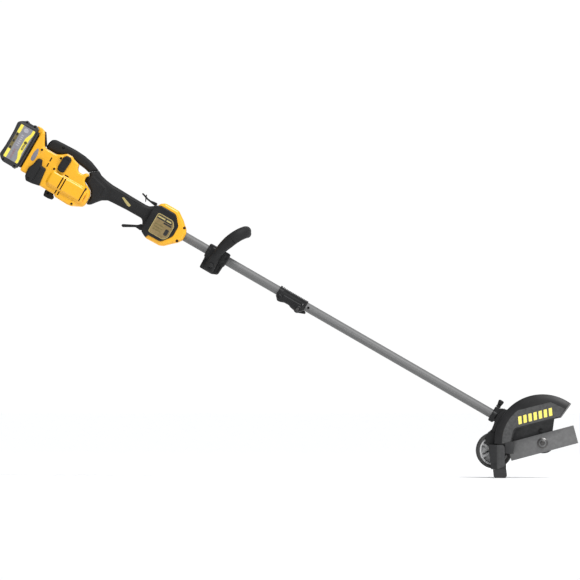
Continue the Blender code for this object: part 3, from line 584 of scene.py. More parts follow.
def battery_cover():
    """The face of the pack towards the tool, with the slot for its rail."""
    side = BATTERY_SIDE - 1
    cover = slab([(-275.9, -side, 3), (-275.9, side, 3), (-271, side - 1, 4), (-268, side - 7, 5),
            (-268, 7 - side, 5), (-271, 1 - side, 4)], -62, 47, "z")
    cover = moulded("battery_cover", cover, 1.4, 4)
    slot = slab([(-260, -16.8), (-260, 16.8), (-269.6, 16.8), (-269.6, 22.8), (-280, 22.8),
            (-280, -22.8), (-269.6, -22.8), (-269.6, -16.8)], -55.7, 90, "z")
    grooves = [block((-280, -24.8, low), (-266, 24.8, low + 3)) for low in range(-50, 40, 12)]
    carved(cover, slot)
    carved(cover, together(*grooves))
    settle(cover, "battery", "battery", ["battery_cover"])


def battery_label(side, sign):
    """Printed film on the pack's flank: two stripes on grey, and a plain charge scale."""
    face = sign * (BATTERY_SIDE - 0.85)

    def film(name, outline, finish, lift, steps=5):
        low, high = sorted((face + sign * (lift - 0.25), face + sign * lift))
        piece(f"battery_{name}_{side}", slab(outline, low, high, steps=steps), SHAFT, "battery", finish)

    def band(low, high, left, right, tip=1.0):
        return [(left, high, tip), (right, high, tip), (right, low, tip), (left, low, tip)]
    film("label", band(-57.4, 44.4, -326, -280.6, 3), "label_grey", 0.3)
    film("stripe_top", band(19, 44, -325.6, -317, 1.5), "label_yellow", 0.5)
    film("stripe_middle", band(-30, 18.6, -325.6, -317, 1), "label_olive", 0.5)
    film("stripe_low", band(-57, -30.4, -325.6, -317, 1.5), "label_yellow", 0.5)
    for tick, up in enumerate((14, -6, -26)):
        film(f"tick_{tick}", band(up - 3.5, up + 3.5, -324, -319), "black", 0.7)
    wave = [(-281, 44, 1.5), (-281, 32, 14), (-284.5, 14, 20), (-284.5, -27, 20), (-281, -45, 14),
            (-281, -57, 1.5), (-288.5, -57, 1.5), (-288.5, -45, 14), (-296, -27, 14), (-296, 14, 14),
            (-288.5, 32, 14), (-288.5, 44, 1.5)]
    film("wave", wave, "label_yellow", 0.5)
    if sign > 0:
        film("slot", band(-19, 8, -292.5, -286.8, 2.5), "label_olive", 0.7)
    else:
        film("slot", band(-19, -1.5, -292.5, -286.8, 2.5), "label_olive", 0.7)
        for lamp, up in enumerate((-5.5, -10, -14.5)):
            film(f"lamp_{lamp}", band(up - 1.2, up + 1.2, -291.2, -288), "label_khaki", 0.9)
    film("scale_head", band(28, 40, -311, -298, 5), "label_pale", 0.5)
    for bar in range(6):
        film(f"scale_{bar}", band(16 - 6 * bar, 19.5 - 6 * bar, -310, -303, 1), "label_pale", 0.5)
    for bar in range(5):
        film(f"warm_scale_{bar}", band(-52 + 6 * bar, -48 + 6 * bar, -309, -303, 1), "label_red", 0.5)


def battery():
    battery_case()
    battery_cover()
    for side, sign in SIDES:
        battery_label(side, sign)
        for spot, (along, up) in enumerate(((-314, 55), (-289, 55), (-321, -65), (-285, -66))):
            screw(f"battery_screw_{side}_{spot}", (along, sign * 31, up), (0, sign, 0), 2.3, "battery")
    button = together(pin((-289.5, 4), -BATTERY_SIDE - 1.3, -BATTERY_SIDE + 3, 3.7, 0.8, 32))
    piece("gauge_button_cap", button, SHAFT, "gauge_button", "label_olive", ["battery_gauge_button"])
    release = eased(together(block((-290, -15, -72.5), (-280, 15, -65))), 1.2)
    ridges = [eased(block((-288 + 2.4 * ridge, -12, -73), (-287 + 2.4 * ridge, 12, -72)),
            0.3) for ridge in range(3)]
    piece("battery_release_key", together(release, *ridges), SHAFT, "battery_release", "black",
          ["battery_release_button"])


# ------------------------------------------------------------------ screws

def screw(name, place, out, radius, body):
    """A pan head with a recess, sitting on a face and looking out."""
    rim = [(-1.5, 0), (-1.5, 0.9), (0, 1), (0.35, 0.9), (0.6, 0.55), (0.6, 0.35), (-0.1, 0.3),
           (-0.1, 0)]
    profile = [(along if along < -1 else along * radius, across * radius) for along, across in rim]
    piece(name, turned(profile, place, Vector(out), 24), SHAFT, body, "dark_steel")


# ------------------------------------------------------------------ rear housing

SADDLE = [(-236, 20.5, 3), (-229, 19, 4), (-201, 19, 12), (-186, 27, 6), (-175, 36, 6), (-159, 36.2, 6),
        (-150, 31.6, 8), (-132, 26, 2)]


def housing():
    body = [(-266, 54, 4), (-257, 55, 4), (-240, 24, 3), *SADDLE, (-129, 13.5, 4), (-123, 8, 4),
            (-109, 8, 4), (-104, 15, 3), (-97, 18, 3), (-92, 13, 2), (-97, 7, 2), (-98, 1, 4),
            (-96, -6, 3), (-90, -11, 4), (-84, -22), (-84, -76), (-91.5, -83, 6), (-105, -86, 5),
            (-146, -84.5, 4), (-151, -79.4, 4), (-198, -79, 5), (-204, -74, 6), (-240, -69, 6),
            (-266, -69, 4)]
    nose = [(-100, -12, 4), (-85, -12.4, 4), (-69, -21.6, 8), (-62.3, -35, 8), (-62.3, -62, 5),
            (-66, -70, 5), (-91.5, -83, 6), (-110, -83)]
    blister = [(-187, -23, 9), (-90, -23, 9), (-73, -33, 8), (-71, -44, 8), (-76, -64, 8),
            (-187, -64, 9)]
    lip = [(-284.5, 58.6, 0.6), (-283, 62.2, 2), (-273, 63, 5), (-257, 57.6, 3), (-250, 40), (-272, 40),
           (-275.4, 46, 1), (-275.6, 52.4, 1), (-281, 57.6, 1.5)]
    rear_plate = [(-266, 53, 3), (-258, 54, 3), (-247, 30), (-247, -68, 3), (-266, -68.5, 3)]
    half = HOUSING - 7
    solid = together(crowned(body, -half, half, 5.0), crowned(nose, 8 - half, half - 8, 9.0),
            crowned(blister, -HOUSING, HOUSING, 6.0), slab(lip, -33, 33), slab(rear_plate, -half, half),
            *[pin((along, up), -half - 1.5, half + 1.5, 6.5) for along, up in HOUSING_SCREWS])
    whole = moulded("housing_whole", solid, 1.6, 9)
    cuts = []
    for _, sign in SIDES:
        near, far = sorted((sign * 35, sign * 60))
        for left, right, low, high in ((-208.3, -204.7, -7, 6), (-208.3, -204.7, -24, -12),
                    (-152, -139.5, -20, -16.4), (-153.4, -149.8, -61, -25.6),
                    (-145.2, -141.6, -61, -25.6), (-84.8, -81.4, -62, -22), (-75.4, -72.4, -60, -27)):
            cuts.append(eased(block((left, near, low), (right, far, high)), 1.2, 3, 60))
        for along in (-150.8, -142.2):
            cuts.append(block((along - 1.7, near, -76.5), (along + 1.7, far, -65)))
        for along, up in HOUSING_SCREWS:
            cuts.append(pin((along, up), sign * (half - 5), sign * 70, 3.6, 0.1, 32))
    carved(whole, together(*cuts))
    shells(whole, "housing_shell_", "powerhead", "yellow", "housing_", 0.25)
    for side, sign in SIDES:
        for spot, (along, up) in enumerate(HOUSING_SCREWS):
            screw(f"housing_screw_{side}_{spot}", (along, sign * (half - 4.4), up), (0, sign, 0), 3.3,
                  "powerhead")
        vent_shade(side, sign)


HOUSING_SCREWS = ((-241, 10), (-183.7, 16), (-185.6, -18.5), (-96.3, -78.0))


def vent_shade(side, sign):
    """Dark sheets at the bottoms of the air vents: painted shade, standing for the dark inside of the
    housing that shows through them.
    """
    near, far = sorted((sign * 35.5, sign * 37))
    slot_shade_sheets = [block((-210, near, -26), (-203, far, 8)), block((-155, near, -78), (-138, far, -15)),
            block((-86, near, -63), (-80, far, -20))]
    piece("vent_painted_shade_" + side, together(*slot_shade_sheets), SHAFT, "powerhead", "black")


def rear_strip():
    strip = slab([(-259.5, 58, 1.5), (-257, 59.2, 1.5), (-235, 26.5, 1.5), (-236, 22.5, 1),
            (-238.5, 24.6, 1)], -33, 33)
    piece("rear_strip", eased(strip, 0.8, 2), SHAFT, "powerhead", "black")


def top_handle():
    outline = [(-76.9, 39, 1), (-90, 44, 14), (-105, 50, 30), (-130, 55, 40), (-159, 57, 60),
            (-198, 55.5, 30), (-222, 54, 10), (-231, 48.5, 8), (-235.5, 36, 8), (-235, 21.5, 4),
            *[(a, u + 0.4, *r) for a, u, *r in SADDLE[1:]], (-113, 24, 8), (-99.2, 20.4, 1)]
    handle = moulded("top_handle_cover", crowned(outline, -18, 18, 8.0), 1.3, 12)
    wells = [pin((-193, 44.6), sign * 11.5, sign * 30, 3.3, 0.1, 32) for _, sign in SIDES]
    ribs = [block((-220 + 7 * rib, -9, 55.2), (-218 + 7 * rib, 9, 60)) for rib in range(9)]
    carved(handle, together(*wells, *ribs[1:]))
    settle(handle, "powerhead", "rubber", ["top_handle"])
    for side, sign in SIDES:
        screw(f"top_handle_screw_{side}", (-193, sign * 12, 44.6), (0, sign, 0), 3.0, "powerhead")


# ------------------------------------------------------------------ grip, controls and hub

GRIP = [(-76.5, 39.3, 2), (-65, 31.5, 14), (-43.5, 26.5, 20), (-24, 24.2), (5, 23.7), (43, 22.8),
        (81.5, 22.3), (93, 23.7, 8), (101, 29.4, 5), (108.5, 35, 3), (112.6, 37.5), (112.6, -50),
        (108, -48, 3), (99, -27, 6), (95, -20, 6), (89, -16.2, 5), (43, -16.7), (4.6, -18.7),
        (-14.6, -20, 14), (-30, -29, 16), (-41.5, -43, 14), (-49, -53, 8), (-58, -59, 4), (-61.7, -56),
        (-61.7, -34, 6), (-68.6, -20.9, 6), (-84.6, -11.9, 6), (-96.6, -5.4, 6), (-97.8, 1.5, 4),
        (-97, 7, 3), (-91, 13.1, 2), (-98.4, 20.6, 1)]
GRIP_HALF = on_shaft("grip_left")[1].y


def grip():
    solid = together(crowned(GRIP, -GRIP_HALF + 0.8, GRIP_HALF - 0.8, 9.5), crowned([(-86, 22, 8),
            (-66, 15, 20), (-30, 8, 20), (-28, -20, 10), (-44, -38, 8), (-56, -48, 6), (-60, -34, 6),
            (-68, -19, 6), (-88, -6, 8), (-92, 6, 8)], -GRIP_HALF - 0.6, GRIP_HALF + 0.6, 4.0),
            crowned([(place.x, place.y * 0.72 + 1.0) for place in rounded([(-24, 24, 8), (84, 24, 8),
            (84, -18, 8), (-24, -20, 8)])], -GRIP_HALF - 0.4, GRIP_HALF + 0.4, 6.0))
    whole = moulded("grip_whole", solid, 1.3, 16)
    cuts = [slab([(72, -70), (74, -8), (108, -8), (110, -24), (116, -28), (116, -70)], -6.4, 6.4),
            slab([(92, 50), (92, 19), (104, 19), (116, 24), (116, 50)], -6.2, 6.2),
            slab([(-56, 31), (-20, 26.3), (88, 24.7), (92, 60), (-56, 60)], -0.5, 0.5),
            slab([(-45, 20), (60, 20), (60, -14), (-20, -14)], -9, 9)]
    for _, sign in SIDES:
        seam = flow([(-73, 0, 20.6), (-56, 0, 17.5), (-30, 0, 15.2), (10, 0, 14.4), (60, 0, 14.2),
                (88, 0, 16.5)], 6)
        seam = [(point[0], sign * (GRIP_HALF - 0.2), point[2]) for point in seam]
        cuts.append(sweep(seam, 1.3, 8))
        crease = flow([(-38, 0, 6), (-39.8, 0, -4), (-39.6, 0, -18)], 5)
        crease = [(point[0], sign * (GRIP_HALF + 0.4), point[2]) for point in crease]
        cuts.append(sweep(crease, 0.8, 8))
    carved(whole, *cuts)
    shells(whole, "grip_shell_", "powerhead", "rubber", "grip_")
    for side, sign in SIDES:
        stripe = slab([(14, 6.8, 1.5), (20, 9.8, 1.5), (47.5, 0, 1.5), (45, -6, 1.5), (39, -5.6, 1.5)],
                sign * (GRIP_HALF - 1), sign * (GRIP_HALF + 0.62))
        piece("grip_stripe_" + side, eased(stripe, 0.3, 2), SHAFT, "powerhead", "label_khaki")


def trigger():
    low, high = on_shaft("trigger")
    outline = [(98, -29, 4), (108, -31, 5), (112, -40, 5), (103, -47, 4), (88, -45.8, 8),
            (57, -63.6, 3), (51, -60.6, 2), (53, -55.6, 2), (90, -37, 10)]
    lever = moulded("trigger_lever", crowned(outline, low.y, high.y, 1.2, steps=3), 0.7, 4)
    settle(lever, "trigger", "black", ["trigger"])


def lock_off_lever():
    low, high = on_shaft("lock_off_lever")
    outline = [(109, 31, 3), (109, 42, 3), (99, 41.4, 8), (88, 39.4, 10), (79, 40.7, 10), (70, 43.7, 8),
            (58.6, 47.4, 2), (57.4, 42.8, 1.5), (70, 38.6, 8), (79, 35.6, 10), (88, 34.3, 10),
            (98, 32.3, 4)]
    fin = [(68.6, 47.6, 1), (71.4, 48.2, 1), (74, 40), (78.6, 29, 1), (76.6, 27.8, 1), (71, 38.4)]
    work = together(crowned(outline, low.y, high.y, 1.2, steps=3), crowned(fin, low.y + 0.5,
            high.y - 0.5, 0.9, steps=2))
    lever = moulded("lock_off_lever_arm", work, 0.6, 3)
    settle(lever, "lock_off", "black", ["lock_off_lever"])


HUB_OUTLINE = [(112.4, 37, 1), (117, 46, 4), (128, 53.5, 6), (170, 53.6, 12), (194, 37, 8),
        (203, 28.5, 5), (213, 20, 7), (219.5, 8, 9), (219.5, -12, 9), (211, -25, 8), (200, -34, 5),
        (181, -52.6, 12), (170, -57, 8), (129, -58, 6), (117, -53, 3), (112.4, -49.5, 1)]
PANEL = [(104, 33, 1), (110, 36, 1), (122, 41.6, 8), (168, 41, 16), (190.4, 14, 14), (190.4, -16, 14),
        (168, -45.8, 16), (129, -46.6, 3), (126.5, -57, 2), (112, -50, 2), (104, -42, 1)]


def hub():
    whole = moulded("hub_whole", crowned(HUB_OUTLINE, -HUB, HUB, 9.0), 1.5, 8)
    pocket = [(along + 0.5 if along > 120 else along, up + (0.4 if up > 0 else -0.4),
            *corner) for along, up, *corner in PANEL]
    hollow = [slab(pocket, sign * (HUB - 3), sign * (HUB + 9)) for _, sign in SIDES]
    wells = [pin((206.5, up), sign * (HUB - 13), sign * (HUB + 9), 4.2, 0.1,
            32) for up in (20, -21) for _, sign in SIDES]
    way = sleeve(140, 230, 12.95, 0.1, 48)
    throat = turned([(0, 0), (0, 12.9), (4, 15.4), (9, 15.4), (9, 0)], (214, 0, 0), (1, 0, 0))
    nib = slab([(104, 24), (104, 60), (114, 60), (114, 24)], -6.5, 6.5)
    carved(whole, together(*hollow), together(*wells), together(way), throat, nib)
    shells(whole, "hub_shell_", "powerhead", "yellow", "hub_")
    for side, sign in SIDES:
        for spot, up in enumerate((20, -21)):
            screw(f"hub_screw_{side}_{spot}", (206.5, sign * (HUB - 12.6), up), (0, sign, 0), 3.4,
                  "powerhead")
        hub_panel(side, sign)


def hub_panel(side, sign):
    """The black panel in the hub's flank, with its framed plate of plain bars."""
    near, far = sorted((sign * (HUB - 2.7), sign * (HUB + 2.0)))
    panel = moulded("hub_panel_shell_" + side, together(crowned(PANEL, near - 2, far + 2, 3.4)), 1.2, 5)
    keep = slab([(90, 70), (240, 70), (240, -80), (90, -80)], sign * (HUB - 2.7), sign * (HUB - 20))
    carved(panel, keep)
    settle(panel, "powerhead", "black", ["hub_panel_" + side])
    face = sign * (HUB + 3.9)

    def film(name, outline, finish, low, high):
        piece(f"hub_{name}_{side}", slab(outline, face + sign * low, face + sign * high), SHAFT,
              "powerhead", finish)
    plate = [(123.5, 21.6, 6), (171, 21.6, 14), (180.5, 8, 12), (180.5, -26, 12), (171, -38, 10),
            (123.5, -38, 6)]
    inner = [(124.8, 20.4, 5.4), (170.3, 20.4, 12), (179.3, 7.2, 11), (179.3, -25.2, 11),
            (170.3, -36.8, 9), (124.8, -36.8, 5.4)]
    film("plate_rim", plate, "label_khaki", -1.2, 0.15)
    film("plate", inner, "label_brown", -1.0, 0.3)
    film("plate_head", [(126.6, 18.4, 4), (169, 18.4, 10), (172, 13, 2), (172, 7, 2), (126.6, 7, 2)],
         "black", 0.1, 0.45)
    film("plate_bar_0", [(127.6, 15, 1), (150, 15, 1), (150, 11, 1), (127.6, 11, 1)], "label_khaki",
         0.3, 0.6)
    film("plate_bar_1", [(154, 15, 1), (169, 15, 1), (169, 11, 1), (154, 11, 1)], "label_khaki", 0.3,
         0.6)
    film("plate_step", [(150, 5.4, 1), (175, 5.4, 1), (175, 1, 1), (150, 1, 1)], "black", 0.1, 0.45)
    film("plate_tab", [(164, -8, 2), (174.6, -8, 2), (174.6, -26, 6), (164, -26, 2)], "black", 0.1,
         0.45)
    for bar in range(3):
        film(f"plate_line_{bar}", [(130, -6 - 8 * bar, 1), (156, -6 - 8 * bar, 1),
                (156, -9 - 8 * bar, 1), (130, -9 - 8 * bar, 1)], "label_olive", 0.1, 0.45)


# ------------------------------------------------------------------ bumpers and badge

def bumpers():
    rear = [(-240, -21, 6), (-236, -13, 5), (-224.8, -13, 4), (-219, -28.4, 3), (-204, -29, 4),
            (-201.5, -53, 10), (-198, -79.5, 2), (-221, -84.4, 4), (-238, -85.6, 5), (-246, -75, 7),
            (-249.3, -50, 14), (-242, -36, 10)]
    half = HOUSING + 4.6
    block_of = together(crowned(rear, -half, half, 6.0))
    pad = moulded("rear_bumper_pad", block_of, 1.6, 6)
    room = slab([(-275, -4), (-190, -4), (-190, -78.4), (-272, -68.4), (-275, -68.4)], -HOUSING + 7.2,
            HOUSING - 7.2)
    grooves = [sweep([(-220.4, sign * half, -34), (-220.8, sign * half, -58),
            (-221.5, sign * half, -82)], 1.8, 10) for _, sign in SIDES]
    wells = [pin((-234.6, -77), sign * (half - 4), sign * 70, 3.2, 0.1, 32) for _, sign in SIDES]
    carved(pad, room)
    carved(pad, together(*grooves, *wells))
    settle(pad, "powerhead", "rubber", ["rear_bumper"])
    foot = [(-177.8, -69.5, 5), (-158.5, -69.5, 4), (-153.6, -81, 8), (-147, -88, 4),
            (-149.6, -95.5, 3), (-160, -97.7, 6), (-176, -97.7, 4), (-178.6, -84, 4)]
    foot_pad = moulded("foot_bumper_pad", crowned(foot, -22, 22, 4.0), 1.3, 5)
    carved(foot_pad, block((-200, -30, -78.9), (-120, 30, -40)))
    for low, high in ((-40, -14), (14, 40)):
        carved(foot_pad, pin((-167.5, -85), low, high, 3.0, 0.1, 32))
    settle(foot_pad, "powerhead", "rubber", ["foot_bumper"])
    for side, sign in SIDES:
        screw(f"bumper_screw_{side}", (-234.6, sign * (half - 3.4), -77), (0, sign, 0), 2.8,
              "powerhead")
        side_bumper(side, sign)
        badge(side, sign)


def side_bumper(side, sign):
    outline = [(-179.4, 22, 6), (-173, 31, 6), (-160, 31, 5), (-154.6, 25, 5), (-156, 4),
            (-157.4, -14, 5), (-163, -17.2, 4), (-175, -17.2, 5), (-180, -8, 4)]
    near, far = sorted((sign * (HOUSING - 9), sign * (HOUSING + 1.6)))
    pad = moulded("side_bumper_pad_" + side, crowned(outline, near, far, 3.0), 1.0, 6)
    groove = [slab([(-175.5, 23, 4), (-160, 23, 4), (-161.5, -8, 4), (-174.5, -8, 4)],
            sign * (HOUSING + 0.5), sign * (HOUSING + 8))]
    carved(pad, together(*groove))
    settle(pad, "powerhead", "rubber", ["side_bumper_" + side])


def badge(side, sign):
    """A plain oval plate on the foot's flank."""
    outline = [(-253.5, 8, 6), (-249, 8, 5), (-244.6, -7, 20), (-244.8, -22, 8), (-247, -29.5, 4),
            (-255, -29.5, 4), (-257, -20, 10), (-257, -6, 14)]
    face = sign * (HOUSING - 7)
    near, far = sorted((face - sign * 1.5, face + sign * 0.5))
    piece("badge_" + side, eased(slab(outline, near, far), 0.4, 2), SHAFT, "powerhead", "label_grey")


# ------------------------------------------------------------------ tubes and coupler

TUBE = 12.7


def tubes():
    for name, start, end, body, holes in (("upper_tube", on_shaft("upper_tube")[0].x,
                on_shaft("upper_tube")[1].x, "powerhead", ()), ("lower_tube",
                on_shaft("lower_tube")[0].x, TUBE_END, "attachment", ((612.5, 3.5), (594.4, 3.4)))):
        tube = as_object(name + "_skin", sleeve(start, end, TUBE, 0.5, 72, 11.0))
        for along, radius in holes:
            carved(tube, pin((along, 0), -20, -3, radius, 0.1, 32))
        settle(tube, body, "tube", [name])


def coupler():
    outline = [(517.5, 14.6, 3), (519.5, 15, 3), (603, 15, 3), (605, 13, 3), (605, -10, 4),
            (600, -20, 5), (590, -27.5, 5), (569, -24, 6), (562, -20.6, 6), (547.5, -21, 8),
            (536, -25.2, 6), (527.5, -26, 5), (520, -17.5, 5), (517.5, -5, 4)]
    barrel = [sleeve(517.6, 604.8, 15.6, 1.2, 48), sleeve(517.5, 532, 16.8, 1.0, 48), pin((527.5, -14),
            -17.2, 17.2, 6.4, 0.8), pin((590, -17), -18, 18, 7.6, 0.8)]
    whole = moulded("coupler_whole", together(crowned(outline, -14.5, 14.5, 4.0), crowned([(534, -2, 3),
            (600, -2, 3), (600, -20, 6), (588, -25, 4), (562, -19, 6), (540, -20, 6), (534, -18, 3)],
            -16.8, 16.8, 3.0), *barrel), 1.0, 5)
    ribs = [block((523.5 + 5 * rib, -20, 14.2), (525.5 + 5 * rib, 20, 30)) for rib in range(16)]
    cutters = [together(*ribs), sleeve(500, 620, TUBE + 0.2, 0.1, 72), pin((588, -18.5), -30, 30, 3.3,
            0.1, 32), pin((527.5, -14), -30, -14, 3.2, 0.1, 32), pin((527.5, -14), 14, 30, 3.2, 0.1,
            32), pin((594.4, 0), -30, -8, 4.2, 0.1, 32), block((500, -0.6, -40), (620, 0.6, -14.5))]
    carved(whole, *cutters)
    shells(whole, "coupler_shell_", "powerhead", "black", "coupler_")
    for side, sign in SIDES:
        screw("coupler_screw_" + side, (527.5, sign * 14.6, -14), (0, sign, 0), 2.9, "powerhead")
    tip = turned([(0, 0), (0, 2.4), (3.6, 2.5), (5.0, 1.8), (5.9, 0)], (594.4, -13.2, 0), (0, -1, 0),
            32)
    piece("spring_button", tip, SHAFT, "coupler_button", "steel", ["coupler_button"])
    knob = together(pin((588, -18.5), 18.8, 27, 10.6, 1.0), crowned([(582, -10, 4), (588, -8, 6),
            (608, -12.4, 3), (613.5, -15, 3), (613.5, -19.5, 3), (606, -22.4, 4), (588, -29, 6),
            (582, -27, 4)], 19.2, 26.8, 2.0), pin((588, -18.5), -17, 20, 3.0))
    knob = moulded("coupler_wing_knob", knob, 0.9, 5)
    settle(knob, "coupler_knob", "black", ["coupler_knob"])
    piece("coupler_nut", pin((588, -18.5), -18.4, -16.6, 4.6, 0.4, 6), SHAFT, "powerhead", "dark_steel")


# ------------------------------------------------------------------ loop handle

BOLT_AT = (321, -33)
NEAR_LEG = [(321, -35, -44), (320.5, -35, -20), (321, -37, 5), (325, -46, 32), (333, -57, 58),
        (344, -58, 80), (355, -40, 95)]


def loop_handle():
    far_leg = [(along, -across, up) for along, across, up in reversed(NEAR_LEG)]
    line = flow(NEAR_LEG + [(358.5, 0, 97.5)] + far_leg, 8)
    radii = [11.6 + 2.3 * min(1.0, max(0.0, (point[2] + 20) / 70)) for point in line]
    foot = [(306, -51, 8), (336, -51, 8), (334, -20, 14), (331, 4, 12), (309, 4, 12), (307, -20, 10)]
    feet = [crowned(foot, sign * 22, sign * 46, 6.0) for _, sign in SIDES]
    under = []
    for point in line:
        drop = 5.0 * min(1.0, max(0.0, (point[2] + 10) / 60))
        under.append((point[0] + drop, point[1], point[2] - drop))
    palm = sweep(under, [radius - 1.6 for radius in radii], 32)
    loop = moulded("loop_handle_bar", together(sweep(line, radii, 32), palm, *feet), 1.6, 8)
    rings = []
    for spot in (0.3, 0.7):
        index = int(spot * (len(line) - 1))
        ahead = (Vector(line[index + 1]) - Vector(line[index])).normalized()
        middle = Vector(line[index])
        rings.append(disc(middle - ahead * 0.8, middle + ahead * 0.8, 19.0, 0.1, 48, 13.2))
    bores = [pin(BOLT_AT, low, low + 50, 3.4, 0.1, 32) for low in (-60, 10)]
    seat = pin(BOLT_AT, -60, -45.4, 8.4, 0.1, 48)
    carved(loop, together(*rings), together(*bores), seat)
    settle(loop, "aux_handle", "rubber", ["aux_handle_loop"])


def handle_bracket():
    outline = [(290, 17, 4), (293, 20.6, 4), (351, 20.6, 4), (355, 15, 5), (355, -6, 3), (352, -21, 4),
            (350.5, -46, 6), (334, -53, 8), (297, -53, 3), (295.5, -50, 4), (294.5, -23, 6),
            (290, -10, 5)]
    collars = [sleeve(290.4, 301, 19.6, 1.5), sleeve(344, 354.6, 19.6, 1.5)]
    solid = together(crowned(outline, -18, 18, 3.0), *collars, crowned([(300, 14, 5), (345, 14, 5),
            (345, -12, 5), (300, -12, 5)], -20, 20, 3.0))
    whole = moulded("bracket_whole", solid, 1.3, 6)
    pockets = []
    for _, sign in SIDES:
        near, far = sorted((sign * 15, sign * 30))
        pockets += [eased(block((338.5, near, -44), (346.5, far, -22)), 1.5, 3, 60),
                eased(block((299, near, -44), (304, far, -22)), 1.5, 3, 60)]
    cutters = [together(*pockets), sleeve(280, 365, TUBE + 0.2, 0.1, 72),
            pin(BOLT_AT, -60, 60, 3.4, 0.1, 32), block((280, -0.7, 14), (365, 0.7, 40)),
            block((280, -0.7, -70), (365, 0.7, -14))]
    carved(whole, *cutters)
    shells(whole, "bracket_shell_", "aux_handle", "black", "handle_clamp_")
    shank = together(pin(BOLT_AT, -49.5, 51, 3.0), pin(BOLT_AT, -52.8, -48.6, 6.2, 0.7, 6))
    piece("bracket_bolt", shank, SHAFT, "aux_handle", "black", ["handle_bolt"])


def lobed_knob(name, centre, low, high, radius, lobes, depth, working_frame, bore=0.0):
    """A star knob across y: a crowned disc with a scoop between lobes."""
    along, up = centre
    knob = pin((along, up), low, high, radius, 1.6, 72)
    knob = moulded(name, together(knob), 0.8, 3, axes=working_frame)
    scoops = []
    for lobe in range(lobes):
        turn = math.tau * (lobe + 0.5) / lobes
        reach = radius + radius * 0.42 - depth
        scoops.append(pin((along + reach * math.cos(turn), up + reach * math.sin(turn)), low - 5,
                high + 5, radius * 0.42, 0.1, 40))
    carved(knob, together(*scoops), axes=working_frame)
    if bore:
        carved(knob, pin((along, up), low - 5, high + 5, bore, 0.1, 32), axes=working_frame)
    return knob


def handle_knob():
    knob = lobed_knob("bracket_knob", BOLT_AT, 49.4, 62.2, 15.2, 6, 3.2, SHAFT, 3.3)
    carved(knob, pin(BOLT_AT, 60.8, 70, 7.0, 0.1))
    settle(knob, "handle_knob", "black", ["handle_knob"])


# ------------------------------------------------------------------ gear case and clamp

def gear_case():
    centre = (BLADE_AT + 5, 2)
    neck = BLADE_AT - 62
    outline = [(neck, -16.5), (neck + 22, -17.5),
            (neck + 32, -19.5)] + arc(centre, 28, -135, 135, 24) + [(neck + 32, 19.5),
            (neck + 22, 17.5), (neck, 16.5)]
    raised = circle(centre, 22)
    fins = [slab(arc(centre, 28.6, -70 + 24 * fin, -62 + 24 * fin, 3) + arc(centre, 20, -62 + 24 * fin,
            -70 + 24 * fin, 3), 2, 21) for fin in range(7)]
    solid = together(crowned(outline, -16.4, 24, 5.0), crowned(raised, 10, 26, 5.0),
            sleeve(neck, neck + 26, 17.8, 1.6), pin((BLADE_AT, 0), -20.6, 0, 24, 1.0), *fins)
    whole = moulded("gear_case_whole", solid, 1.2, 5)
    cutters = [sleeve(neck - 10, BLADE_AT - 35.5, TUBE + 0.2, 0.1, 72), sleeve(BLADE_AT - 36, BLADE_AT,
            11.5, 0.1), pin((BLADE_AT, 0), -12, 17, 18, 0.1), pin((BLADE_AT, 0), -30, 0, 8, 0.1),
            pin((BLADE_AT, 0), -18.6, -11, 13.3, 0.1), block((neck - 10, -30, -0.35),
            (neck + 16, 30, 0.35))]
    carved(whole, *cutters)
    shells(whole, "gear_case_shell_", "attachment", "casting", "gear_case_",
           sides=(("far", 1), ("near", -1)))
    for spot, turn in enumerate((-110, -40, 40, 110)):
        along, up = arc(centre, 24.4, turn, turn + 1, 1)[0]
        screw(f"gear_case_screw_{spot}", (along, 22.6, up), (0, 1, 0), 2.7, "attachment")
    screw("gear_case_clamp_screw", (neck + 8, 17.2, 0), (0, 1, 0), 3.2, "attachment")


def guard_clamp():
    outline = [(1196, 22, 2), (1199, 24.3, 2), (1210, 24.3, 1), (1216, 28, 2), (1232, 29, 2),
            (1236, 26, 2), (1240, 8, 4), (1232, -13, 4), (1212, -14.5, 2), (1210.5, -18, 2),
            (1208, -20.3, 2), (1198, -20.3, 2), (1196, -18, 2)]
    clamp = moulded("clamp_shell", together(crowned(outline, -15.5, 15.5, 2.0),
            sleeve(1196.4, 1210, 18.2, 1.4)), 1.0, 5)
    carved(clamp, sleeve(1185, 1245, TUBE + 0.2, 0.1, 72), disc((1203, 0, 10), (1203, 0, 40), 3.3, 0.1,
            32), block((1190, -0.6, 12), (1209.6, 0.6, 40)), block((1218, -30, 24.8), (1229, -9, 40)),
           block((1218, 9, 24.8), (1229, 30, 40)))
    settle(clamp, "attachment", "black", ["guard_clamp"])
    for side, sign in SIDES:
        head = together(disc((1223.5, sign * 12.6, 24.4), (1223.5, sign * 12.6, 30), 4.4, 0.6, 6),
                disc((1223.5, sign * 12.6, 24.2), (1223.5, sign * 12.6, 25.4), 5.6, 0.3))
        piece("clamp_bolt_" + side, head, SHAFT, "attachment", "dark_steel")
    grip_part = together(turned([(24.5, 0), (24.5, 6.4), (26, 7), (30, 5.6), (38, 7.4), (42.5, 8.2),
            (45, 6.6), (46, 3), (46, 0)], (1203, 0, 0), (0, 0, 1), 48), crowned([(-11, 36, 2.5),
            (-9, 33, 2.5), (9, 33, 2.5), (11, 36, 2.5), (11.5, 44.6, 2), (-11.5, 44.6, 2)], 1199.6,
            1206.4, 1.4, "x"), disc((1203, 0, 13.5), (1203, 0, 27), 3.0, 0.3, 32))
    knob = moulded("clamp_wing_knob", grip_part, 0.7, 4)
    settle(knob, "clamp_knob", "black", ["clamp_knob"])


# ------------------------------------------------------------------ cutter

BLADE_TILT = 15.0
BLADE_LENGTH = 190.5
BLADE_WIDTH = 50.8


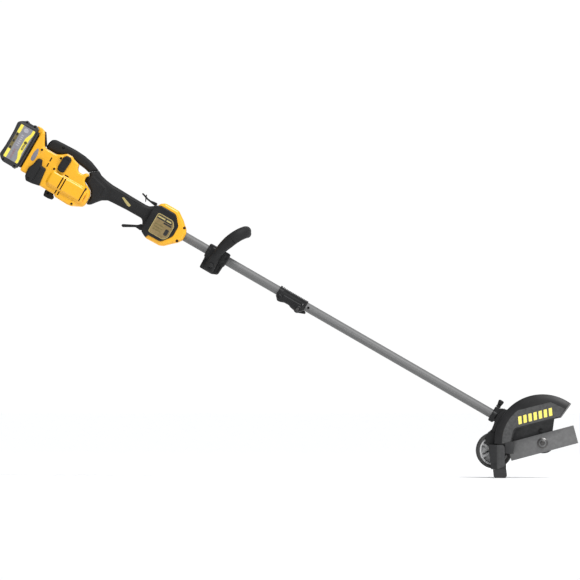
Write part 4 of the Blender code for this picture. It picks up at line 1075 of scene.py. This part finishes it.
def cutter():
    ahead = Vector((math.cos(math.radians(BLADE_TILT)), math.sin(math.radians(BLADE_TILT))))
    above = Vector((-ahead.y, ahead.x))
    corners = [ahead * (BLADE_LENGTH / 2 * x) + above * (BLADE_WIDTH / 2 * z) for x, z in ((-1, -1),
            (1, -1), (1, 1), (-1, 1))]
    plate = slab([(*corner, 0.8) for corner in corners], -39.95, -37.05, steps=3)
    plate = eased(plate, 0.5, 2)
    blade = as_object("blade_plate", plate, HEAD)
    carved(blade, pin((0, 0), -50, -30, 6.7, 0.1, 48), axes=HEAD)
    settle(blade, "cutter", "blade", ["edger_blade"], 25.0)
    washer = turned([(-40.3, 6.8), (-40.3, 14.6), (-40.9, 15), (-41.6, 15), (-43.5, 11.6), (-43.5, 6.8),
            (-40.3, 6.8)], (0, 0, 0), (0, 1, 0), 72)
    piece("blade_washer_dish", washer, HEAD, "cutter", "dark_steel", ["blade_washer"], 28.0)
    nut = together(pin((0, 0), -50.4, -44.6, 9.9, 0.9, 6, 6.7), pin((0, 0), -45.4, -43.7, 10.6, 0.5, 48,
            6.7))
    piece("blade_nut_hex", nut, HEAD, "cutter", "steel", ["blade_nut"], 28.0)
    stem = turned([(-52, 0), (-52, 4.8), (-50.6, 6.3), (-48, 6.5), (16.4, 6.5), (16.4, 0)], (0, 0, 0),
            (0, 1, 0), 48)
    piece("spindle_stem", stem, HEAD, "cutter", "dark_steel", ["spindle"])
    collar = turned([(-36.8, 6.8), (-36.8, 19), (-35.4, 19), (-33, 13), (-32, 12.6), (-32, 6.8),
            (-36.8, 6.8)], (0, 0, 0), (0, 1, 0), 72)
    piece("inner_flange_dish", collar, HEAD, "cutter", "steel", ["inner_flange"], 28.0)


# ------------------------------------------------------------------ guard and skirt

GUARD_AT = (0, 2)
GUARD_EDGE = 132.5


def guard():
    edge = arc(GUARD_AT, GUARD_EDGE, 53.5, 181.5, 60)
    outline = edge + [(-103.7, -3.9), (-103.7, -28), (-60, -31), (0, -26), (24, -18), (29, 36),
            (33, 66), (50, 70)]
    shell = as_object("guard_shell", slab(outline, -58, -21), HEAD)
    middle = (GUARD_AT[0], 0, GUARD_AT[1])
    slope = turned([(-60, 114.0), (-60, 145), (-47, 145), (-47, GUARD_EDGE + 0.4),
            (-49.6, GUARD_EDGE - 0.6), (-51, GUARD_EDGE - 2.4), (-58.6, 114.6), (-60, 114.0)], middle,
            (0, 1, 0), 180)
    back_slope = turned([(-19, 127), (-19, 145), (-27, 145), (-27, GUARD_EDGE + 0.4),
            (-24, GUARD_EDGE - 1.2), (-20.6, 127.6), (-19, 127)], middle, (0, 1, 0), 180)
    channel = turned([(-55, 0), (-55, 113), (-48.6, 128.5), (-26.5, 128.5), (-24, 126), (-24, 0)],
            middle, (0, 1, 0), 180)
    window = [(52, 70.6, 1), (33, 67, 4), (-73.8, 39.7, 8), (-78, 34, 6), (-86.5, 3, 1), (-80, 3, 1),
            (-80, -60), (100, -60), (100, 70.6)]
    cutters = [slope, back_slope, channel, slab(window, -60, -54.5), pin((0, 0), -30, -15, 13, 0.1),
            pin((-62, 0), -30, -15, 3.4, 0.1)]
    carved(shell, *cutters, axes=HEAD)
    settle(shell, "attachment", "rim", ["guard"], 28.0)
    rim = [(*place, 0.5) for place in arc(GUARD_AT, 113.2, 179, 128, 24)]
    face = [(-112.6, -2.6, 1), *rim, (-68.4, 91.8, 4), (22, 115, 6), (63.5, 95.6, 3),
            (48.2, 71.8, 1.5), (32.4, 68.4, 4), (-74.6, 41, 8), (-79.4, 35, 6), (-88, 3.6, 2),
            (-92, 2.2, 2)]
    bed = rounded(face, 4)
    piece("guard_face_bed", slab(bed, -58.3, -57.2), HEAD, "attachment", "black")
    piece("guard_face", eased(slab(inset(bed, 1.5), -58.9, -57.2), 0.5, 2), HEAD, "attachment", "guard",
          smooth=28.0)
    lip = [(-103.2, 1, 2), (-88, 3.4, 2), (-81, 3.4, 2), (-80.6, -27.6, 1.5), (-103.2, -27.6, 1)]
    piece("guard_lip", eased(slab(lip, -58.7, -57.4, steps=4), 0.4, 2), HEAD, "attachment", "guard",
          smooth=28.0)
    # The front rib takes the lighter edge grey: a painted highlight for the light along its chamfer.
    front = slab([(47.6, 71.2, 1), (51, 70.2, 1), (78.6, 107.6, 1), (75.4, 110, 1), (66.6, 97.4, 1)],
            -58.6, -54, steps=3)
    piece("guard_front_rib", eased(front, 0.8, 2), HEAD, "attachment", "edge", smooth=28.0)
    # A sheet of the lighter guard grey over the back wall: painted light, lifting the shade that falls
    # inside the guard.
    back_wall_painted_light = [(-86, -4), (-88, 40, 6), (-60, 62), (32.6, 74), (32.2, 64, 2), (28, 36, 8), (23, -17, 3),
            (0, -25, 6), (-60, -30), (-86, -28.6)]
    piece("guard_back_wall_painted_light", slab(back_wall_painted_light, -24.6, -23.8, steps=4), HEAD, "attachment", "guard")
    flange = [(-96, 93, 2), (-112, 89, 5), (-124, 77, 8), (-131, 64, 10), (-133.8, 52, 10),
            (-139.6, 38, 4), (-139, 33, 3), (-118, 30), (-94, 70)]
    piece("guard_flange", eased(slab(flange, -24, -20.7, steps=4), 0.6, 2), HEAD, "attachment", "black",
          smooth=28.0)
    hook = [(-4 + 5 * math.cos(math.radians(turn)), -27.5,
            33 + 5 * math.sin(math.radians(turn))) for turn in range(40, 300, 20)]
    piece("guard_hook", sweep(hook, 1.5, 12), HEAD, "attachment", "black")
    guard_bars()


def guard_bars():
    """A plain row of slanted yellow bars printed along the guard's flank."""
    rise = math.tan(math.radians(15))
    for bar in range(7):
        left = -66 + 14.0 * bar
        foot = 51.5 + rise * (left + 66)
        low = foot + rise * 9.0
        outline = [(left, foot, 0.8), (left + 9.0, low, 0.8), (left + 7.2, low + 21.5, 0.8),
                (left - 1.8, foot + 21.5, 0.8)]
        piece(f"guard_bar_{bar}", slab(outline, -59.15, -58.7, steps=3), HEAD, "attachment", "mark")


def skirt():
    plan = [(-149, -22), (-149, -40, 3), (-126, -62, 3), (-104.2, -62), (-104.2, -22)]
    hollow = [(-146, -25), (-146, -38.7, 2), (-124.8, -59, 2), (-101, -59), (-101, -25)]
    shell = as_object("skirt_shell", eased(slab(plan, -72.5, -4.4, "z"), 1.2, 3), HEAD)
    left = [(-170, 0), (-149.6, 0), (-148.9, -8), (-141.4, -72), (-141.4, -90), (-170, -90)]
    below = [(-170, -72.2), (-139, -72.2), (-120, -70.2), (-102, -62), (-90, -62), (-90, -90),
            (-170, -90)]
    corner = [(-113, 0), (-113, -4.2), (-108.4, -5.6), (-105.2, -9), (-104, -14), (-104, 0)]
    inside = slab(hollow, -100, -7.4, "z")
    carved(shell, slab(left, -70, -10), slab(below, -70, -10), inside, slab(corner, -70, -10),
           axes=HEAD)
    settle(shell, "attachment", "guard", ["skirt"], 28.0)
    sheet = slab([(-137, -73, 1), (-135, -92, 4), (-131, -96.4, 4), (-103, -96.4, 4), (-98, -90, 5),
            (-100, -72, 1)], -60.9, -58.1)
    holder = block((-136.5, -60.4, -72.8), (-100.6, -57.4, -57))
    piece("flap_holder", eased(holder, 0.4, 2), HEAD, "attachment", "black")
    # Dark patches at the top of the flap: painted shade, standing for the dark inside its notches.
    notch_painted_shade = [block((left, -61.15, -77), (left + 4, -60.6, -73.6)) for left in (-128, -109.6)]
    piece("flap_notch_painted_shade", together(*notch_painted_shade), HEAD, "flap", "black")
    piece("flap_sheet", eased(sheet, 0.6, 2), HEAD, "flap", "guard", ["flap"])


# ------------------------------------------------------------------ depth wheel

WHEEL_AT = (-132.5, -20.5)
WHEEL_EDGE = 50.6


def wheel():
    along, up = WHEEL_AT
    centre = (along, 0, up)
    tyre = turned([(-15.6, 40.4), (-15.6, 46), (-13.4, 49), (-8, 50.3), (0, WHEEL_EDGE), (8, 50.3),
            (13.4, 49), (15.6, 46), (15.6, 40.4), (-15.6, 40.4)], centre, (0, 1, 0), 144)
    tyre = as_object("tyre_band", tyre, HEAD)
    grooves = []
    for groove in range(40):
        turn = Matrix.Rotation(math.tau * groove / 40, 4, "Y")
        for low, high in ((-20, -3.4), (3.4, 20)):
            grooves.append(moved(block((-1.1, low, 48.4), (1.1, high, 56)),
                    Matrix.Translation(centre) @ turn))
    carved(tyre, together(*grooves), axes=HEAD)
    carved(tyre, turned([(-1.2, 49), (-1.2, 60), (1.2, 60), (1.2, 49), (-1.2, 49)], centre, (0, 1, 0),
            144), axes=HEAD)
    settle(tyre, "wheel", "tread", ["wheel_tyre"], 30.0)
    rim = turned([(-13, 36.4), (-13, 39.9), (13, 39.9), (13, 36.4), (11, 35.4), (3, 34.6), (-3, 34.6),
            (-11, 35.4), (-13, 36.4)], centre, (0, 1, 0), 96)
    boss = turned([(-13, 4.8), (-13, 9), (-12, 10.4), (12, 10.4), (13, 9), (13, 4.8), (-13, 4.8)],
            centre, (0, 1, 0), 64)
    spokes = []
    for spoke in range(6):
        turn = Matrix.Translation(centre) @ Matrix.Rotation(math.tau * spoke / 6, 4, "Y")
        spokes.append(moved(eased(block((-3.2, -11, 8), (3.2, 11, 36)), 0.9), turn))
        spokes.append(moved(block((-8.5, -1.6, 8), (8.5, 1.6, 36)), turn))
    web = turned([(-1.6, 9.5), (-1.6, 35.5), (1.6, 35.5), (1.6, 9.5), (-1.6, 9.5)], centre, (0, 1, 0),
            96)
    hub_wheel = as_object("wheel_centre", together(rim, boss, web, *spokes), HEAD)
    settle(hub_wheel, "wheel", "wheel", ["wheel_hub"], 30.0)


def wheel_arm():
    along, up = WHEEL_AT
    slot = arc((0, 0), 65.8, 163, 197, 12) + arc((0, 0), 58.2, 197, 163, 12)
    outline = [(*place, 0.0) for place in arc((0, 0), 28.5, -130, 110, 40)]
    outline = [place[:2] for place in outline] + [(-60, 34, 12), (-135, 46, 6), (-139, 38, 5),
            (-150, 29, 6), (-157, 18, 8), (-157, 2, 8), (-147, -8, 6), (-146, -34, 8), (-120, -36, 10),
            (-60, -31, 12)]
    arm = as_object("wheel_arm_plate", eased(slab(outline, -20.1, -17.0), 0.7, 2), HEAD)
    carved(arm, pin((0, 0), -30, -10, 24.4, 0.1, 72), slab(slot, -30, -10), pin((along, up), -30, -10,
            4.4, 0.1, 32), axes=HEAD)
    settle(arm, "wheel_arm", "black", ["wheel_arm"], 28.0)
    axle = together(pin((along, up), -20.6, 18, 4.1, 0.4), pin((along, up), 13.7, 18, 8, 0.8, 6),
            pin((along, up), 13.3, 14.2, 9.4, 0.3))
    piece("wheel_axle_bolt", axle, HEAD, "wheel_arm", "steel", ["wheel_axle"], 28.0)
    knob = lobed_knob("depth_star", (-62, 0), -16.4, -4.1, 12.2, 8, 1.8, HEAD)
    settle(knob, "depth_knob", "black", ["depth_knob"])
    piece("depth_stem", pin((-62, 0), -23.5, -14, 3.0, 0.3, 32), HEAD, "depth_knob", "dark_steel")


PIECES = (battery, housing, rear_strip, top_handle, grip, trigger, lock_off_lever, hub, bumpers, tubes,
        coupler, loop_handle, handle_bracket, handle_knob, gear_case, guard_clamp, cutter, guard, skirt,
        wheel, wheel_arm)


# ------------------------------------------------------------------ working parts inside

INNER_FINISHES = {
    "black": ("battery_rail", "trigger_switch", "cooling_fan"),
    "dark_steel": ("motor_rotor", "shaft_bush"),
    "steel": ("shaft_gear", "bevel_gear", "upper_drive_shaft", "lower_drive_shaft",
              "spindle_bearing"),
    "copper": ("motor_stator",),
    "board": ("control_board",),
    "cells": ("cell_pack",),
}


def inner_parts():
    """The CAD's own working parts stay, with finishes that suit them."""
    for finish, nodes in INNER_FINISHES.items():
        for node in nodes:
            for place in frame["nodes"][node].material_slots:
                place.material = FINISH[finish]


# ------------------------------------------------------------------ floor, light and camera

def floor():
    low, high = CAD_BOX
    work = bmesh.new()
    bmesh.ops.create_grid(work, x_segments=1, y_segments=1, size=14.0)
    middle = Vector(((low[0] + high[0]) / 2, 0, low[2]))
    bmesh.ops.translate(work, vec=middle, verts=work.verts)
    ground = as_object("floor", work, Matrix.Identity(4))
    material = plastic("floor_paint", 0.97, 0.965, 0.95, (0.55, 0.65), 400.0, 0.02)
    ground.data.materials.append(material)


def world():
    """An even soft light all round, with white behind the object."""
    studio_world = bpy.data.worlds.new("studio")
    studio_world.use_nodes = True
    tree = studio_world.node_tree
    wire(tree, tree.nodes["Background"], {"Color": (0.95, 0.97, 1.0, 1.0), "Strength": 0.38})
    white = add_node(tree, "Background", {"Color": (1.0, 1.0, 1.0, 1.0), "Strength": 1.02})
    rays = add_node(tree, "LightPath", {}).outputs["Is Camera Ray"]
    soft = tree.nodes["Background"].outputs[0]
    mix = add_node(tree, "MixShader", {0: rays, 1: soft, 2: white.outputs[0]})
    wire(tree, tree.nodes["World Output"], {"Surface": mix.outputs[0]})
    bpy.context.scene.world = studio_world


def light(name, kind, strength, direction, place=(0, 0, 0), **settings):
    lamp = bpy.data.lights.new(name, kind)
    lamp.energy = strength
    for label, value in settings.items():
        setattr(lamp, label, value)
    thing = bpy.data.objects.new(name, lamp)
    thing.location = place
    thing.rotation_euler = Vector(direction).to_track_quat("-Z", "Y").to_euler()
    bpy.context.scene.collection.objects.link(thing)


def camera():
    low, high = (Vector(corner) for corner in CAD_BOX)
    middle = (low + high) / 2 + Vector((0.003, 0, 0.026))
    width, length = 1.6008, 600.0
    lens = bpy.data.cameras.new("side_camera")
    lens.lens = length
    lens.sensor_width = 36.0
    lens.clip_end = 100.0
    thing = bpy.data.objects.new("side_camera", lens)
    thing.location = (middle.x, -width * length / lens.sensor_width, middle.z)
    thing.rotation_euler = (math.radians(90), 0, 0)
    bpy.context.scene.collection.objects.link(thing)
    bpy.context.scene.camera = thing


def studio():
    floor()
    world()
    middle = (Vector(CAD_BOX[0]) + Vector(CAD_BOX[1])) / 2
    side, back = Vector((2.2, -2.2, 0.8)), Vector((0.6, 2.4, 1.6))
    light("key", "SUN", 3.1, (-0.50, 0.62, -1.05), angle=math.radians(25.0))
    light("side", "AREA", 12.0, middle - side, side, shape="RECTANGLE", size=1.0, size_y=2.2)
    light("back", "AREA", 16.0, middle - back, back, shape="RECTANGLE", size=2.0, size_y=1.0)
    bpy.context.scene.view_settings.view_transform = "Standard"
    camera()


for build in PIECES:
    build()
inner_parts()
studio()
